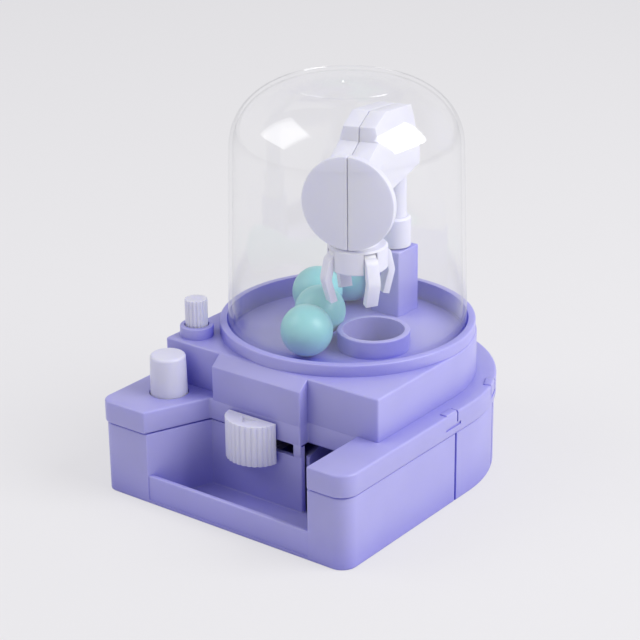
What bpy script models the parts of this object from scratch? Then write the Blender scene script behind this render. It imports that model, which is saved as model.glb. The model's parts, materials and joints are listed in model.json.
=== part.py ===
"""Claw crane machine: a desk-top toy with a clear dome, a swinging crane and a four-finger claw.

Frame: +Z up, the ground at Z = 0, the dome's axis at X = Y = 0 and the front towards -Y.
All driving dimensions below are in millimetres; meshes are scaled to metres when they are made.
"""

import math

import bmesh
import bpy
from mathutils import Matrix

MM = 0.001
GAP = 0.3           # clearance between pieces that touch
RUN = 0.4           # clearance of a piece that turns or slides in another
WALL = 2.0          # wall of the two case shells
CUT = 3.0           # how far a cutter runs past what it cuts
SIDES = 24          # facets of a large round piece
SMALL_SIDES = 12    # facets of pins, studs and screws

# Case outline, seen from above
HALF_WIDTH = 57.0
FRONT_Y = -78.6
CORNER_RIGHT = 7.0
CORNER_LEFT = 5.0
LOWER_INSET = 0.7
# Case levels
FLOOR = 1.6
LIP_TOP = 11.3
MID_TOP = 23.6
PART_LINE = 28.4
COVER_TOP = 37.2
HOUSING_TOP = 53.9
RING_TOP = 58.4
# Housing that carries the dome
HOUSING_HALF = 49.2
HOUSING_FRONT = -48.9
BLOCK_X = (-23.0, 18.0)
BLOCK_FRONT = -53.6
BLOCK_TOP = 50.05
MID_FRONT = -53.0
RING_OUTER = 48.7
RING_INNER = 46.0
LEDGE_RADIUS = 43.0
LEDGE_TOP = 48.9
LEDGE_THICK = 1.5
# Prize tray and its way out
TRAY_RIGHT = 39.7
TRAY_LEFT_FRONT = -35.2
TRAY_LEFT_REAR = -24.4
TRAY_FLOOR = 1.5
SLOT_X = (-16.0, 14.6)
# Play deck, chute and post
DECK_THICK = 1.8
CHUTE = (15.2, -4.2)
CHUTE_OUTER = 13.8
CHUTE_INNER = 11.7
CHUTE_TOP = 57.8
CHUTE_BOTTOM = 34.0
POST_SIDE = 13.4
POST_TOP = 77.6
# Prize ramp
RAMP_WALL = 1.4
RAMP_REAR = 8.5
RAMP_REAR_X = (2.8, 27.6)
RAMP_FRONT = -50.6
RAMP_FRONT_X = (18.4, 39.3)
RAMP_REAR_Z = 14.0
RAMP_FRONT_Z = 3.4
RAMP_WALL_TOP = 24.0
# Dome
DOME_WALL = 1.4
DOME_TOP = 150.0
DOME_SHOULDER = 124.6
DOME_RADIUS = 45.45         # at DOME_REF_Z
DOME_REF_Z = 60.0
DOME_TAPER = 0.029
DOME_FLAT = 23.3
DOME_POWER = 2.215
# Crane column
COLUMN = (0.0, 31.0)
HEADING = 17.0              # degrees to the right of straight ahead, at rest
COLUMN_RADIUS = 4.6
COLUMN_BORE = 2.2
COLUMN_BOTTOM = 14.8
COLUMN_TOP = 118.0
COLLAR_RADIUS = 6.4
COLLAR_TOP = 90.0
HEX_RADIUS = 4.5
FLANGE_RADIUS = 9.0
FLANGE_THICK = 1.7
LIFT_TRAVEL = 6.0
# Arm
ARM_BOTTOM = 111.0
ARM_HALF = 9.1
ARM_WALL = 2.0
DISC_AT = 51.9
DISC_THICK = 3.2
DISC_RADIUS = 17.7
DISC_Z = 112.0
CLAW_AT = 43.9
# Claw
HOLDER_RADIUS = 11.2
HOLDER_TOP = 93.6
HOLDER_BOTTOM = 84.5
HOLDER_WEB = 0.8
NECK_RADIUS = 7.0
NECK_BORE = 5.7
NECK_TOP = 115.0
FINGER_WIDTH = 4.8
FINGER_THICK = 2.6
FINGER_PIVOT = (9.0, 90.6)
FINGER_TOE = 4.7
FINGER_ROOT = (11.4, 88.8)
FINGER_ELBOW = (13.0, 81.6)
FINGER_TIP = (10.6, 72.8)
PIN_RADIUS = 0.8
# Balls
BALL_RADIUS = 9.8
BALLS = ((0.5, -26.2), (-7.4, -7.6), (-20.4, 8.0), (-19.6, 28.0))
# Controls
BUTTON = (-40.4, -58.1)
BUTTON_TOP = 52.4
BUTTON_RADIUS = 7.06
BUTTON_TAPER = 0.36
BUTTON_TRAVEL = 4.0
BUTTON_FLANGE = 9.2
STEM_RADIUS = 3.0
SHELF_Z = (15.0, 18.0)
KNOB = (-41.5, -39.8)
KNOB_RADIUS = 4.3
KNOB_TOP = 68.5
KNOB_COLLAR = 6.4
KNOB_COLLAR_TOP = 58.2
SHAFT_RADIUS = 2.5
SLIDER_X = (-14.15, 7.75)
SLIDER_BACK = -54.6
SLIDER_FRONT = -63.7
SLIDER_Z = (19.5, 35.5)
PLATE_X = (-11.0, -1.0)
PLATE_Z = (24.4, 27.4)
# Swing drive
SECTOR_PIVOT = (-6.0, 6.0)
SECTOR_Z = (15.5, 18.3)
LEVER = 52.0
SECTOR_TEETH = 36
PINION_TEETH = 14
PEG_RADIUS = 1.1
# Lift drive
GEAR_PLATE_Z = (26.3, 28.3)
GEAR_THICK = 4.0
KNOB_TEETH = 12
IDLER_TEETH = 33
NUT_TEETH = 28
GEAR_MODULE = 1.0
IDLER_ANGLE = 75.0          # degrees from +X, of the first idler seen from the knob
CARRIER_RADIUS = 8.2
# Claw drive
BEAM_Z = (6.4, 8.9)
BEAM_WIDTH = 6.0
ROD_RADIUS = 1.6
LEVER_Z = (121.0, 123.6)
LEVER_PIVOT = 35.1
PLUNGER_RADIUS = 1.8
# Fasteners
CASE_SCREWS = ((-48.0, -70.0), (48.0, -68.0), (34.6, 34.6), (-34.6, 34.6))
CASE_POST = 4.0
ARM_SCREWS = ((16.0, 130.6), (49.3, 119.5))
GEAR_POSTS = ((-46.0, -28.0), (-38.0, 8.0), (13.0, 39.5))
GROOVES = ((57.0, -9.6, 0.0), (52.1, 23.2, 24.0))    # x, y and the wall's angle in degrees

WORLD = Matrix.Identity(4)
CRANE = Matrix.Translation((COLUMN[0] * MM, COLUMN[1] * MM, 0)) @ Matrix.Rotation(
    math.radians(HEADING - 90), 4, "Z"
)
CLAW = CRANE @ Matrix.Translation((CLAW_AT * MM, 0, 0))


# ---------------------------------------------------------------- scene and materials


def clear_scene():
    for obj in list(bpy.data.objects):
        bpy.data.objects.remove(obj)


def new_collection(name):
    collection = bpy.data.collections.new(name)
    bpy.context.scene.collection.children.link(collection)
    return collection


def new_material(name, colour, roughness, metallic=0.0, alpha=1.0):
    material = bpy.data.materials.new(name)
    material.use_nodes = True
    shader = material.node_tree.nodes["Principled BSDF"]
    shader.inputs["Base Color"].default_value = (*colour, 1.0)
    shader.inputs["Roughness"].default_value = roughness
    shader.inputs["Metallic"].default_value = metallic
    shader.inputs["Alpha"].default_value = alpha
    return material


clear_scene()
PARTS = new_collection("claw_crane_machine")
HELPERS = new_collection("cutters_and_joined_shapes")
COLOURS = {
    "lilac": ((0.36, 0.34, 0.72), 0.35, 0.0, 1.0),
    "white": ((0.72, 0.72, 0.86), 0.3, 0.0, 1.0),
    "clear": ((0.9, 0.92, 0.95), 0.05, 0.0, 0.35),
    "aqua": ((0.3, 0.66, 0.68), 0.4, 0.0, 1.0),
    "grey": ((0.5, 0.5, 0.55), 0.5, 0.0, 1.0),
    "steel": ((0.55, 0.55, 0.57), 0.3, 1.0, 1.0),
}


# ---------------------------------------------------------------- shapes


def add_mesh(name, bm, at=WORLD):
    """A new object from a bmesh whose coordinates are millimetres."""
    bmesh.ops.scale(bm, vec=(MM, MM, MM), verts=bm.verts)
    bmesh.ops.remove_doubles(bm, verts=bm.verts, dist=1e-6)
    bmesh.ops.recalc_face_normals(bm, faces=bm.faces)
    mesh = bpy.data.meshes.new(name)
    bm.to_mesh(mesh)
    bm.free()
    obj = bpy.data.objects.new(name, mesh)
    obj.matrix_world = at
    PARTS.objects.link(obj)
    return obj


def block(name, x, y, z, at=WORLD):
    bm = bmesh.new()
    bmesh.ops.create_cube(bm, size=1)
    size = (x[1] - x[0], y[1] - y[0], z[1] - z[0])
    middle = ((x[0] + x[1]) / 2, (y[0] + y[1]) / 2, (z[0] + z[1]) / 2)
    bmesh.ops.scale(bm, vec=size, verts=bm.verts)
    bmesh.ops.translate(bm, vec=middle, verts=bm.verts)
    return add_mesh(name, bm, at)


def cylinder(name, radius, z, centre=(0, 0), sides=SIDES, at=WORLD, top=None):
    """A cylinder, or a cone when top gives another radius."""
    bm = bmesh.new()
    bmesh.ops.create_cone(
        bm,
        cap_ends=True,
        segments=sides,
        radius1=radius,
        radius2=radius if top is None else top,
        depth=z[1] - z[0],
    )
    bmesh.ops.translate(bm, vec=(*centre, (z[0] + z[1]) / 2), verts=bm.verts)
    return add_mesh(name, bm, at)


def cross_pin(name, radius, x, z, y, sides=SMALL_SIDES, at=WORLD):
    """A cylinder whose axis runs along Y, at x and z."""
    bm = bmesh.new()
    bmesh.ops.create_cone(
        bm, cap_ends=True, segments=sides, radius1=radius, radius2=radius, depth=y[1] - y[0]
    )
    bmesh.ops.rotate(bm, cent=(0, 0, 0), matrix=Matrix.Rotation(math.pi / 2, 3, "X"), verts=bm.verts)
    bmesh.ops.translate(bm, vec=(x, (y[0] + y[1]) / 2, z), verts=bm.verts)
    return add_mesh(name, bm, at)


def mesh_of(obj):
    """The object's evaluated mesh, as a bmesh in millimetres; the object is removed."""
    bpy.context.view_layer.update()
    graph = bpy.context.evaluated_depsgraph_get()
    mesh = bpy.data.meshes.new_from_object(obj.evaluated_get(graph))
    bm = bmesh.new()
    bm.from_mesh(mesh)
    bpy.data.objects.remove(obj)
    bpy.data.meshes.remove(mesh)
    bmesh.ops.remove_doubles(bm, verts=bm.verts, dist=1e-4)
    return bm


def outline_mesh(loops, thickness):
    """A flat 2D curve with holes, extruded by its whole thickness about Z = 0."""
    curve = bpy.data.curves.new("outline", "CURVE")
    curve.dimensions = "2D"
    curve.fill_mode = "BOTH"
    curve.extrude = thickness / 2
    for loop in loops:
        spline = curve.splines.new("POLY")
        spline.points.add(len(loop) - 1)
        for point, (x, y) in zip(spline.points, loop):
            point.co = (x, y, 0, 1)
        spline.use_cyclic_u = True
    obj = bpy.data.objects.new("outline", curve)
    PARTS.objects.link(obj)
    return mesh_of(obj)


def prism(name, loops, z, at=WORLD):
    bm = outline_mesh(loops, z[1] - z[0])
    bmesh.ops.translate(bm, vec=(0, 0, (z[0] + z[1]) / 2), verts=bm.verts)
    return add_mesh(name, bm, at)


def side_prism(name, loop, y, at=WORLD):
    """A prism along Y from an outline given as (x, z) points."""
    bm = outline_mesh([loop], y[1] - y[0])
    bmesh.ops.rotate(bm, cent=(0, 0, 0), matrix=Matrix.Rotation(math.pi / 2, 3, "X"), verts=bm.verts)
    bmesh.ops.translate(bm, vec=(0, (y[0] + y[1]) / 2, 0), verts=bm.verts)
    return add_mesh(name, bm, at)


def turned(name, profile, centre=(0, 0), steps=SIDES, at=WORLD):
    """A closed or axis-to-axis profile of (radius, z) points, turned about the vertical axis."""
    mesh = bpy.data.meshes.new(name)
    count = len(profile)
    on_axis = profile[0][0] == 0 and profile[-1][0] == 0
    edges = [(i, i + 1) for i in range(count - 1)] + ([] if on_axis else [(count - 1, 0)])
    mesh.from_pydata([(r, 0, z) for r, z in profile], edges, [])
    obj = bpy.data.objects.new(name, mesh)
    PARTS.objects.link(obj)
    screw = obj.modifiers.new("turn", "SCREW")
    screw.steps = steps
    screw.render_steps = steps
    screw.use_merge_vertices = True
    screw.merge_threshold = 0.0001
    bm = mesh_of(obj)
    bmesh.ops.translate(bm, vec=(*centre, 0), verts=bm.verts)
    return add_mesh(name, bm, at)


def loft(name, sections, at=WORLD):
    """A closed solid through sections that have the same number of points."""
    bm = bmesh.new()
    rings = [[bm.verts.new(point) for point in section] for section in sections]
    for ring, following in zip(rings, rings[1:]):
        for i in range(len(ring)):
            j = (i + 1) % len(ring)
            bm.faces.new((ring[i], ring[j], following[j], following[i]))
    bm.faces.new(list(reversed(rings[0])))
    bm.faces.new(rings[-1])
    return add_mesh(name, bm, at)


def boolean(obj, others, operation):
    for other in others:
        modifier = obj.modifiers.new(other.name, "BOOLEAN")
        modifier.operation = operation
        modifier.object = other
        PARTS.objects.unlink(other)
        HELPERS.objects.link(other)
        other.hide_render = True
        other.display_type = "WIRE"


def cut(obj, *cutters):
    boolean(obj, cutters, "DIFFERENCE")


def join(obj, *others):
    boolean(obj, others, "UNION")


def finish(obj, finish_name):
    """Gives the piece its own material and smooth shading between sharp edges."""
    colour, roughness, metallic, alpha = COLOURS[finish_name]
    obj.data.materials.append(new_material(obj.name, colour, roughness, metallic, alpha))
    obj.data.shade_smooth()
    obj.data.set_sharp_from_angle(angle=math.radians(35))
    return obj


def hang(name, place, objs):
    """Parents the pieces to an empty on their joint's axis."""
    empty = bpy.data.objects.new(name, None)
    empty.matrix_world = Matrix.Translation([value * MM for value in place])
    PARTS.objects.link(empty)
    bpy.context.view_layer.update()
    for obj in objs:
        obj.parent = empty
        obj.matrix_parent_inverse = empty.matrix_world.inverted()
    return empty


# ---------------------------------------------------------------- outlines


def arc(centre, radius, start, end, steps):
    """Points on an arc, with its angles in degrees."""
    points = []
    for i in range(steps + 1):
        angle = math.radians(start + (end - start) * i / steps)
        points.append((centre[0] + radius * math.cos(angle), centre[1] + radius * math.sin(angle)))
    return points


def tray_left(y):
    """X of the left wall of the prize tray, which slants in towards the rear."""
    share = (y - FRONT_Y) / (BLOCK_FRONT - FRONT_Y)
    return TRAY_LEFT_FRONT + (TRAY_LEFT_REAR - TRAY_LEFT_FRONT) * share


def tray_left_offset(y, wall):
    """X of the far face of that wall."""
    slant = math.atan2(TRAY_LEFT_REAR - TRAY_LEFT_FRONT, BLOCK_FRONT - FRONT_Y)
    return tray_left(y) - wall / math.cos(slant)


def full_outline(inset):
    """The case seen from above: half round at the rear, straight sides, two rounded corners."""
    half = HALF_WIDTH - inset
    front = FRONT_Y + inset
    right = max(CORNER_RIGHT - inset, 1.0)
    left = max(CORNER_LEFT - inset, 1.0)
    points = arc((0, 0), half, 0, 180, 28)
    points += arc((-half + left, front + left), left, 180, 270, 5)
    points += arc((half - right, front + right), right, 270, 360, 6)
    return points


def notched_outline(inset, wall, rear):
    """The case outline without the prize tray; wall moves the tray's sides outward.

    rear lists the tray's rear edge from left to right as (x, y) corners.
    """
    half = HALF_WIDTH - inset
    front = FRONT_Y + inset
    right = max(CORNER_RIGHT - inset, 1.0)
    left = max(CORNER_LEFT - inset, 1.0)
    points = arc((0, 0), half, 0, 180, 28)
    points += arc((-half + left, front + left), left, 180, 270, 5)
    points += [(tray_left_offset(front, wall), front)]
    points += [(tray_left_offset(rear[0][1], wall), rear[0][1])]
    points += rear[1:]
    points += [(TRAY_RIGHT + wall, front)]
    points += arc((half - right, front + right), right, 270, 360, 6)
    return points


def cover_rear(wall):
    """Rear edge of the tray under the housing, left to right; the slider's block stands forward."""
    return [
        (TRAY_LEFT_REAR, BLOCK_FRONT + wall),
        (BLOCK_X[1] - wall, BLOCK_FRONT + wall),
        (BLOCK_X[1] - wall, HOUSING_FRONT + wall),
        (TRAY_RIGHT + wall, HOUSING_FRONT + wall),
    ]


def lower_rear(wall):
    return [(TRAY_LEFT_REAR, MID_FRONT + wall), (TRAY_RIGHT + wall, MID_FRONT + wall)]


def housing_outline(inset):
    half = HOUSING_HALF - inset
    return arc((0, 0), half, 0, 180, 36) + [(-half, HOUSING_FRONT + inset), (half, HOUSING_FRONT + inset)]


def tray_outline(front, rear, way_out=0.0):
    """The prize tray, with its way out under the housing when that has a depth."""
    points = [(tray_left(front), front), (TRAY_RIGHT, front), (TRAY_RIGHT, rear + way_out)]
    if way_out:
        points += [(BLOCK_X[1], rear + way_out), (BLOCK_X[1], rear)]
    return points + [(tray_left(rear), rear)]


def dome_radius(z):
    """Outer radius of the dome: a slightly tapering wall, then a rounded shoulder."""
    if z <= DOME_SHOULDER:
        return DOME_RADIUS - DOME_TAPER * (z - DOME_REF_Z)
    top = DOME_RADIUS - DOME_TAPER * (DOME_SHOULDER - DOME_REF_Z)
    core = 9.0
    height = (DOME_TOP - DOME_SHOULDER) / shoulder_share(core, top)
    share = min((z - DOME_SHOULDER) / height, 1.0)
    return core + (top - core) * (1 - share**DOME_POWER) ** (1 / DOME_POWER)


def shoulder_share(core, top):
    """Share of the shoulder curve's height at which its radius has come in to the flat top."""
    return (1 - ((DOME_FLAT - core) / (top - core)) ** DOME_POWER) ** (1 / DOME_POWER)


def gear_outline(teeth, module, phase, first=0, last=None):
    """Straight-flanked teeth with backlash; first and last pick a run of teeth of a sector."""
    pitch = 2 * math.pi / teeth
    radius = teeth * module / 2
    root, tip = radius - 1.1 * module, radius + 0.8 * module
    points = []
    for i in range(first, teeth if last is None else last + 1):
        middle = phase + i * pitch
        for r, side in ((root, -0.29), (tip, -0.1), (tip, 0.1), (root, 0.29)):
            angle = middle + side * pitch
            points.append((r * math.cos(angle), r * math.sin(angle)))
    return points


def hexagon(radius):
    return arc((0, 0), radius, 0, 300, 5)


def moved(points, place):
    return [(x + place[0], y + place[1]) for x, y in points]


def meshing_phase(place, teeth, phase, other_place, other_teeth):
    """Phase that puts a gap of the other gear opposite a tooth of this one, and the reverse."""
    toward = math.atan2(other_place[1] - place[1], other_place[0] - place[0])
    offset = (toward - phase) * teeth / (2 * math.pi)
    return toward + math.pi - (0.5 - offset) * 2 * math.pi / other_teeth


def strip(points, width):
    """Outline of a bent flat strip that follows the points."""
    left, right = [], []
    for i, (x, y) in enumerate(points):
        before = points[max(i - 1, 0)]
        after = points[min(i + 1, len(points) - 1)]
        one = direction(before, (x, y)) if i else direction((x, y), after)
        two = direction((x, y), after) if i < len(points) - 1 else one
        normal = (-(one[1] + two[1]), one[0] + two[0])
        scale = width / (normal[0] * -one[1] + normal[1] * one[0]) / 2
        left.append((x + normal[0] * scale, y + normal[1] * scale))
        right.append((x - normal[0] * scale, y - normal[1] * scale))
    return left + right[::-1]


def direction(start, end):
    length = math.dist(start, end)
    return ((end[0] - start[0]) / length, (end[1] - start[1]) / length)


# ---------------------------------------------------------------- case


def make_lower_shell():
    shell = prism("lower_shell", [full_outline(LOWER_INSET)], (0, PART_LINE - GAP))
    inside = notched_outline(LOWER_INSET + WALL, WALL, lower_rear(WALL))
    cavity = prism("cavity", [inside], (FLOOR, PART_LINE + CUT))
    tray = prism("tray", [tray_outline(FRONT_Y - CUT, MID_FRONT, 2 * CUT)], (TRAY_FLOOR, PART_LINE + CUT))
    slot = block("slot", SLOT_X, (MID_FRONT - CUT, MID_FRONT + WALL + CUT), (MID_TOP, PART_LINE + CUT))
    cut(shell, cavity, tray, slot)
    lip = (FRONT_Y + LOWER_INSET + 0.3, FRONT_Y + LOWER_INSET + 0.3 + WALL)
    join(shell, block("lip", (tray_left(lip[0]) - 0.8, TRAY_RIGHT + 0.8), lip, (FLOOR / 2, LIP_TOP)))
    for x, y in CASE_SCREWS:
        join(shell, cylinder("post", CASE_POST, (FLOOR / 2, PART_LINE - GAP - 0.1), (x, y), SMALL_SIDES))
    for x, y in GEAR_POSTS:
        top = GEAR_PLATE_Z[0] - GAP
        join(shell, cylinder("gear_post", SHAFT_RADIUS, (FLOOR / 2, top), (x, y), SMALL_SIDES))
    bearing_top = COLUMN_BOTTOM - 2 * GAP
    join(shell, cylinder("bearing", 8.0, (FLOOR / 2, bearing_top), COLUMN))
    beam = beam_frame()
    for side in (-1, 1):
        inner = BEAM_WIDTH / 2 + GAP
        ear_y = sorted((side * inner, side * (inner + 3)))
        join(shell, block("ear", (-3, 3), ear_y, (FLOOR / 2, BEAM_Z[1] + 2), beam))
    shelf = (BUTTON[0] - 14.5, BUTTON[0] + 8)
    join(shell, block("shelf", shelf, (BUTTON[1] - 7, BUTTON[1] + 7), SHELF_Z))
    cut(shell, cylinder("stem_hole", STEM_RADIUS + RUN, (SHELF_Z[0] - CUT, SHELF_Z[1] + CUT), BUTTON))
    cut(shell, cylinder("bearing_bore", 5.0, (FLOOR + 0.3, bearing_top + CUT), COLUMN))
    end = beam_length() / 2
    cut(shell, block("beam_gate", (end - 10, end), (-3.8, 3.8), (FLOOR + 0.3, bearing_top + CUT), beam))
    cut(shell, cross_pin("pin_bore", 1.0 + GAP, 0, sum(BEAM_Z) / 2, (-7.2, 7.2), at=beam))
    top = PART_LINE + CUT
    bore = [(0, top), (1.8, top), (1.8, 3), (3.4, 3), (3.4, -CUT), (0, -CUT)]
    for place in CASE_SCREWS:
        cut(shell, turned("screw_bore", bore, place, SMALL_SIDES))
    for x, y, angle in GROOVES:
        at = Matrix.Translation((x * MM, y * MM, 0)) @ Matrix.Rotation(math.radians(angle), 4, "Z")
        cut(shell, block("groove", (-1.5, CUT), (-0.7, 0.7), (-CUT, PART_LINE + CUT), at))
    return finish(shell, "lilac")


def make_top_shell():
    shell = prism("top_shell", [notched_outline(0, 0, cover_rear(0))], (PART_LINE, COVER_TOP))
    housing = prism("housing", [housing_outline(0)], (COVER_TOP - WALL / 2, HOUSING_TOP))
    slope = HOUSING_TOP - 0.05
    side = [
        (-BLOCK_FRONT, COVER_TOP - WALL / 2),
        (-BLOCK_FRONT, BLOCK_TOP),
        (-HOUSING_FRONT, slope),
        (-HOUSING_FRONT - 3, slope - 1),
        (-HOUSING_FRONT - 3, COVER_TOP - WALL / 2),
    ]
    turn = Matrix.Rotation(-math.pi / 2, 4, "Z")
    slider_block = side_prism("slider_block", side, BLOCK_X, turn)
    collar = cylinder("collar", KNOB_COLLAR, (HOUSING_TOP - WALL / 2, KNOB_COLLAR_TOP), KNOB)
    join(shell, housing, slider_block, collar)
    under = prism(
        "cover_inside",
        [notched_outline(WALL, WALL, cover_rear(WALL))],
        (PART_LINE - CUT, COVER_TOP - WALL),
    )
    inside = prism("housing_inside", [housing_outline(WALL)], (COVER_TOP - CUT, HOUSING_TOP - WALL))
    block_inside = block(
        "block_inside",
        (BLOCK_X[0] + WALL, BLOCK_X[1] - WALL),
        (BLOCK_FRONT + WALL, HOUSING_FRONT + 2 * WALL),
        (PART_LINE - CUT, BLOCK_TOP - WALL),
    )
    cut(shell, under, inside, block_inside)
    join(shell, cylinder("ring", RING_OUTER, (LEDGE_TOP - LEDGE_THICK, RING_TOP), sides=64))
    for x, y in CASE_SCREWS:
        join(shell, cylinder("boss", 3.6, (PART_LINE, COVER_TOP - WALL / 2), (x, y), SMALL_SIDES))
    cut(shell, cylinder("dome_seat", RING_INNER, (LEDGE_TOP, RING_TOP + CUT), sides=56))
    cut(shell, cylinder("deck_hole", LEDGE_RADIUS, (LEDGE_TOP - CUT, RING_TOP + CUT), sides=48))
    cut(shell, cylinder("knob_hole", KNOB_RADIUS + RUN, (HOUSING_TOP - CUT, KNOB_COLLAR_TOP + CUT), KNOB))
    hole = BUTTON_RADIUS + RUN
    cut(shell, cylinder("button_hole", hole, (COVER_TOP - CUT, COVER_TOP + CUT), BUTTON))
    for x, y in CASE_SCREWS:
        cut(shell, cylinder("boss_bore", 1.7, (PART_LINE - CUT, COVER_TOP - WALL), (x, y), SMALL_SIDES))
    for x, y, angle in GROOVES:
        at = Matrix.Translation((x * MM, y * MM, 0)) @ Matrix.Rotation(math.radians(angle), 4, "Z")
        cut(shell, block("latch_slit", (-4.6, -3.4), (-3.6, 3.6), (COVER_TOP - 0.8, COVER_TOP + CUT), at))
    return finish(shell, "lilac")


def make_play_deck():
    bottom = LEDGE_TOP + GAP
    top = bottom + DECK_THICK
    deck = cylinder("play_deck", RING_INNER - RUN, (bottom, top), sides=56)
    join(deck, cylinder("chute", CHUTE_OUTER, (CHUTE_BOTTOM, CHUTE_TOP), CHUTE))
    half = POST_SIDE / 2
    turned_half = Matrix.Translation((COLUMN[0] * MM, COLUMN[1] * MM, 0))
    join(deck, block("post", (-half, half), (-half, half), (bottom + 1, POST_TOP), turned_half))
    cut(deck, cylinder("chute_bore", CHUTE_INNER, (CHUTE_BOTTOM - CUT, CHUTE_TOP + CUT), CHUTE))
    bore = COLUMN_RADIUS + RUN
    cut(deck, cylinder("post_bore", bore, (bottom - CUT, POST_TOP + CUT), COLUMN, SMALL_SIDES))
    return finish(deck, "lilac")


def make_dome():
    foot = LEDGE_TOP + GAP + DECK_THICK + GAP
    outer = []
    inner = []
    levels = [DOME_SHOULDER + (DOME_TOP - DOME_SHOULDER) * math.sin(math.pi / 2 * i / 7) for i in range(8)]
    for z in [foot] + levels:
        radius = dome_radius(z)
        share = max(z - DOME_SHOULDER, 0) / (DOME_TOP - DOME_SHOULDER)
        outer.append((radius, z))
        inner.append((radius - DOME_WALL * (1 - 0.3 * share), z - DOME_WALL * share))
    profile = [(0, DOME_TOP)] + outer[::-1] + inner + [(0, DOME_TOP - DOME_WALL)]
    dome = turned("dome", profile, steps=44)
    return finish(dome, "clear")


def make_prize_ramp():
    sections = []
    for y, floor, span in (
        (RAMP_REAR, RAMP_REAR_Z, RAMP_REAR_X),
        (RAMP_FRONT, RAMP_FRONT_Z, RAMP_FRONT_X),
    ):
        left, right = span
        wall = RAMP_WALL
        sections.append(
            [
                (left, y, floor - wall),
                (right, y, floor - wall),
                (right, y, RAMP_WALL_TOP),
                (right - wall, y, RAMP_WALL_TOP),
                (right - wall, y, floor),
                (left + wall, y, floor),
                (left + wall, y, RAMP_WALL_TOP),
                (left, y, RAMP_WALL_TOP),
            ]
        )
    return finish(loft("prize_ramp", sections), "lilac")


def make_case_screws():
    for number, (x, y) in enumerate(CASE_SCREWS, 1):
        screw = cylinder(f"case_screw_{number}", 1.4, (1.8, COVER_TOP - WALL - 2), (x, y), SMALL_SIDES)
        join(screw, cylinder("head", 3.0, (0.6, 2.7), (x, y), SMALL_SIDES))
        finish(screw, "steel")


def make_balls():
    rest = LEDGE_TOP + GAP + DECK_THICK + GAP
    for number, (x, y) in enumerate(BALLS, 1):
        bm = bmesh.new()
        bmesh.ops.create_uvsphere(bm, u_segments=14, v_segments=8, radius=BALL_RADIUS)
        bmesh.ops.translate(bm, vec=(x, y, rest + BALL_RADIUS), verts=bm.verts)
        finish(add_mesh(f"ball_{number}", bm), "aqua")


# ---------------------------------------------------------------- slider and swing drive


def make_slider():
    centre = (SLIDER_X[0] + SLIDER_X[1]) / 2
    half = (SLIDER_X[1] - SLIDER_X[0]) / 2
    depth = SLIDER_BACK - SLIDER_FRONT
    outline = [(SLIDER_X[1], SLIDER_BACK), (SLIDER_X[0], SLIDER_BACK)]
    for i in range(1, 16):
        angle = math.pi + math.pi * i / 16
        x = centre + half * math.cos(angle)
        y = SLIDER_BACK + depth * math.sin(angle)
        outline.append((x, y))
    knob = prism("slider_knob", [outline], SLIDER_Z)
    sections = []
    for z, wide, back, tip in ((SLIDER_Z[1] - 1, 3, -56.6, -60), (SLIDER_Z[1] + 1, 4, -56, -61.5)):
        sections.append([(centre - wide, back, z), (centre + wide, back, z), (centre, tip, z)])
    dimple = loft("dimple", sections)
    tongue = (PLATE_X[0] + 1, PLATE_X[1] - 1)
    pocket = block(
        "pocket",
        (tongue[0] - GAP, tongue[1] + GAP),
        (SLIDER_BACK - 5, SLIDER_BACK + CUT),
        (PLATE_Z[0] - GAP, PLATE_Z[1] + GAP),
    )
    cut(knob, dimple, pocket)
    finish(knob, "white")
    rear = SECTOR_PIVOT[1] - LEVER + 6.5
    wide = MID_FRONT + WALL + GAP
    middle = (PLATE_X[0] + PLATE_X[1]) / 2
    outline = [
        (tongue[0], SLIDER_BACK - 4.6),
        (tongue[1], SLIDER_BACK - 4.6),
        (tongue[1], SLIDER_BACK + GAP),
        (PLATE_X[1], SLIDER_BACK + GAP),
        (PLATE_X[1], wide),
        (middle + 8, wide),
        (middle + 8, rear),
        (middle - 8, rear),
        (middle - 8, wide),
        (PLATE_X[0], wide),
        (PLATE_X[0], SLIDER_BACK + GAP),
        (tongue[0], SLIDER_BACK + GAP),
    ]
    half_slot = PEG_RADIUS + 0.9
    peg = SECTOR_PIVOT[1] - LEVER
    slot = [
        (SECTOR_PIVOT[0] - half_slot, peg - half_slot),
        (SECTOR_PIVOT[0] + half_slot, peg - half_slot),
        (SECTOR_PIVOT[0] + half_slot, peg + half_slot + 2),
        (SECTOR_PIVOT[0] - half_slot, peg + half_slot + 2),
    ]
    plate = finish(prism("slider_plate", [outline, slot], PLATE_Z), "grey")
    hang("slider_axis", (centre, SLIDER_BACK, PLATE_Z[0]), [knob, plate])


def swing_module():
    return 2 * math.dist(SECTOR_PIVOT, COLUMN) / (SECTOR_TEETH + PINION_TEETH)


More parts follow.
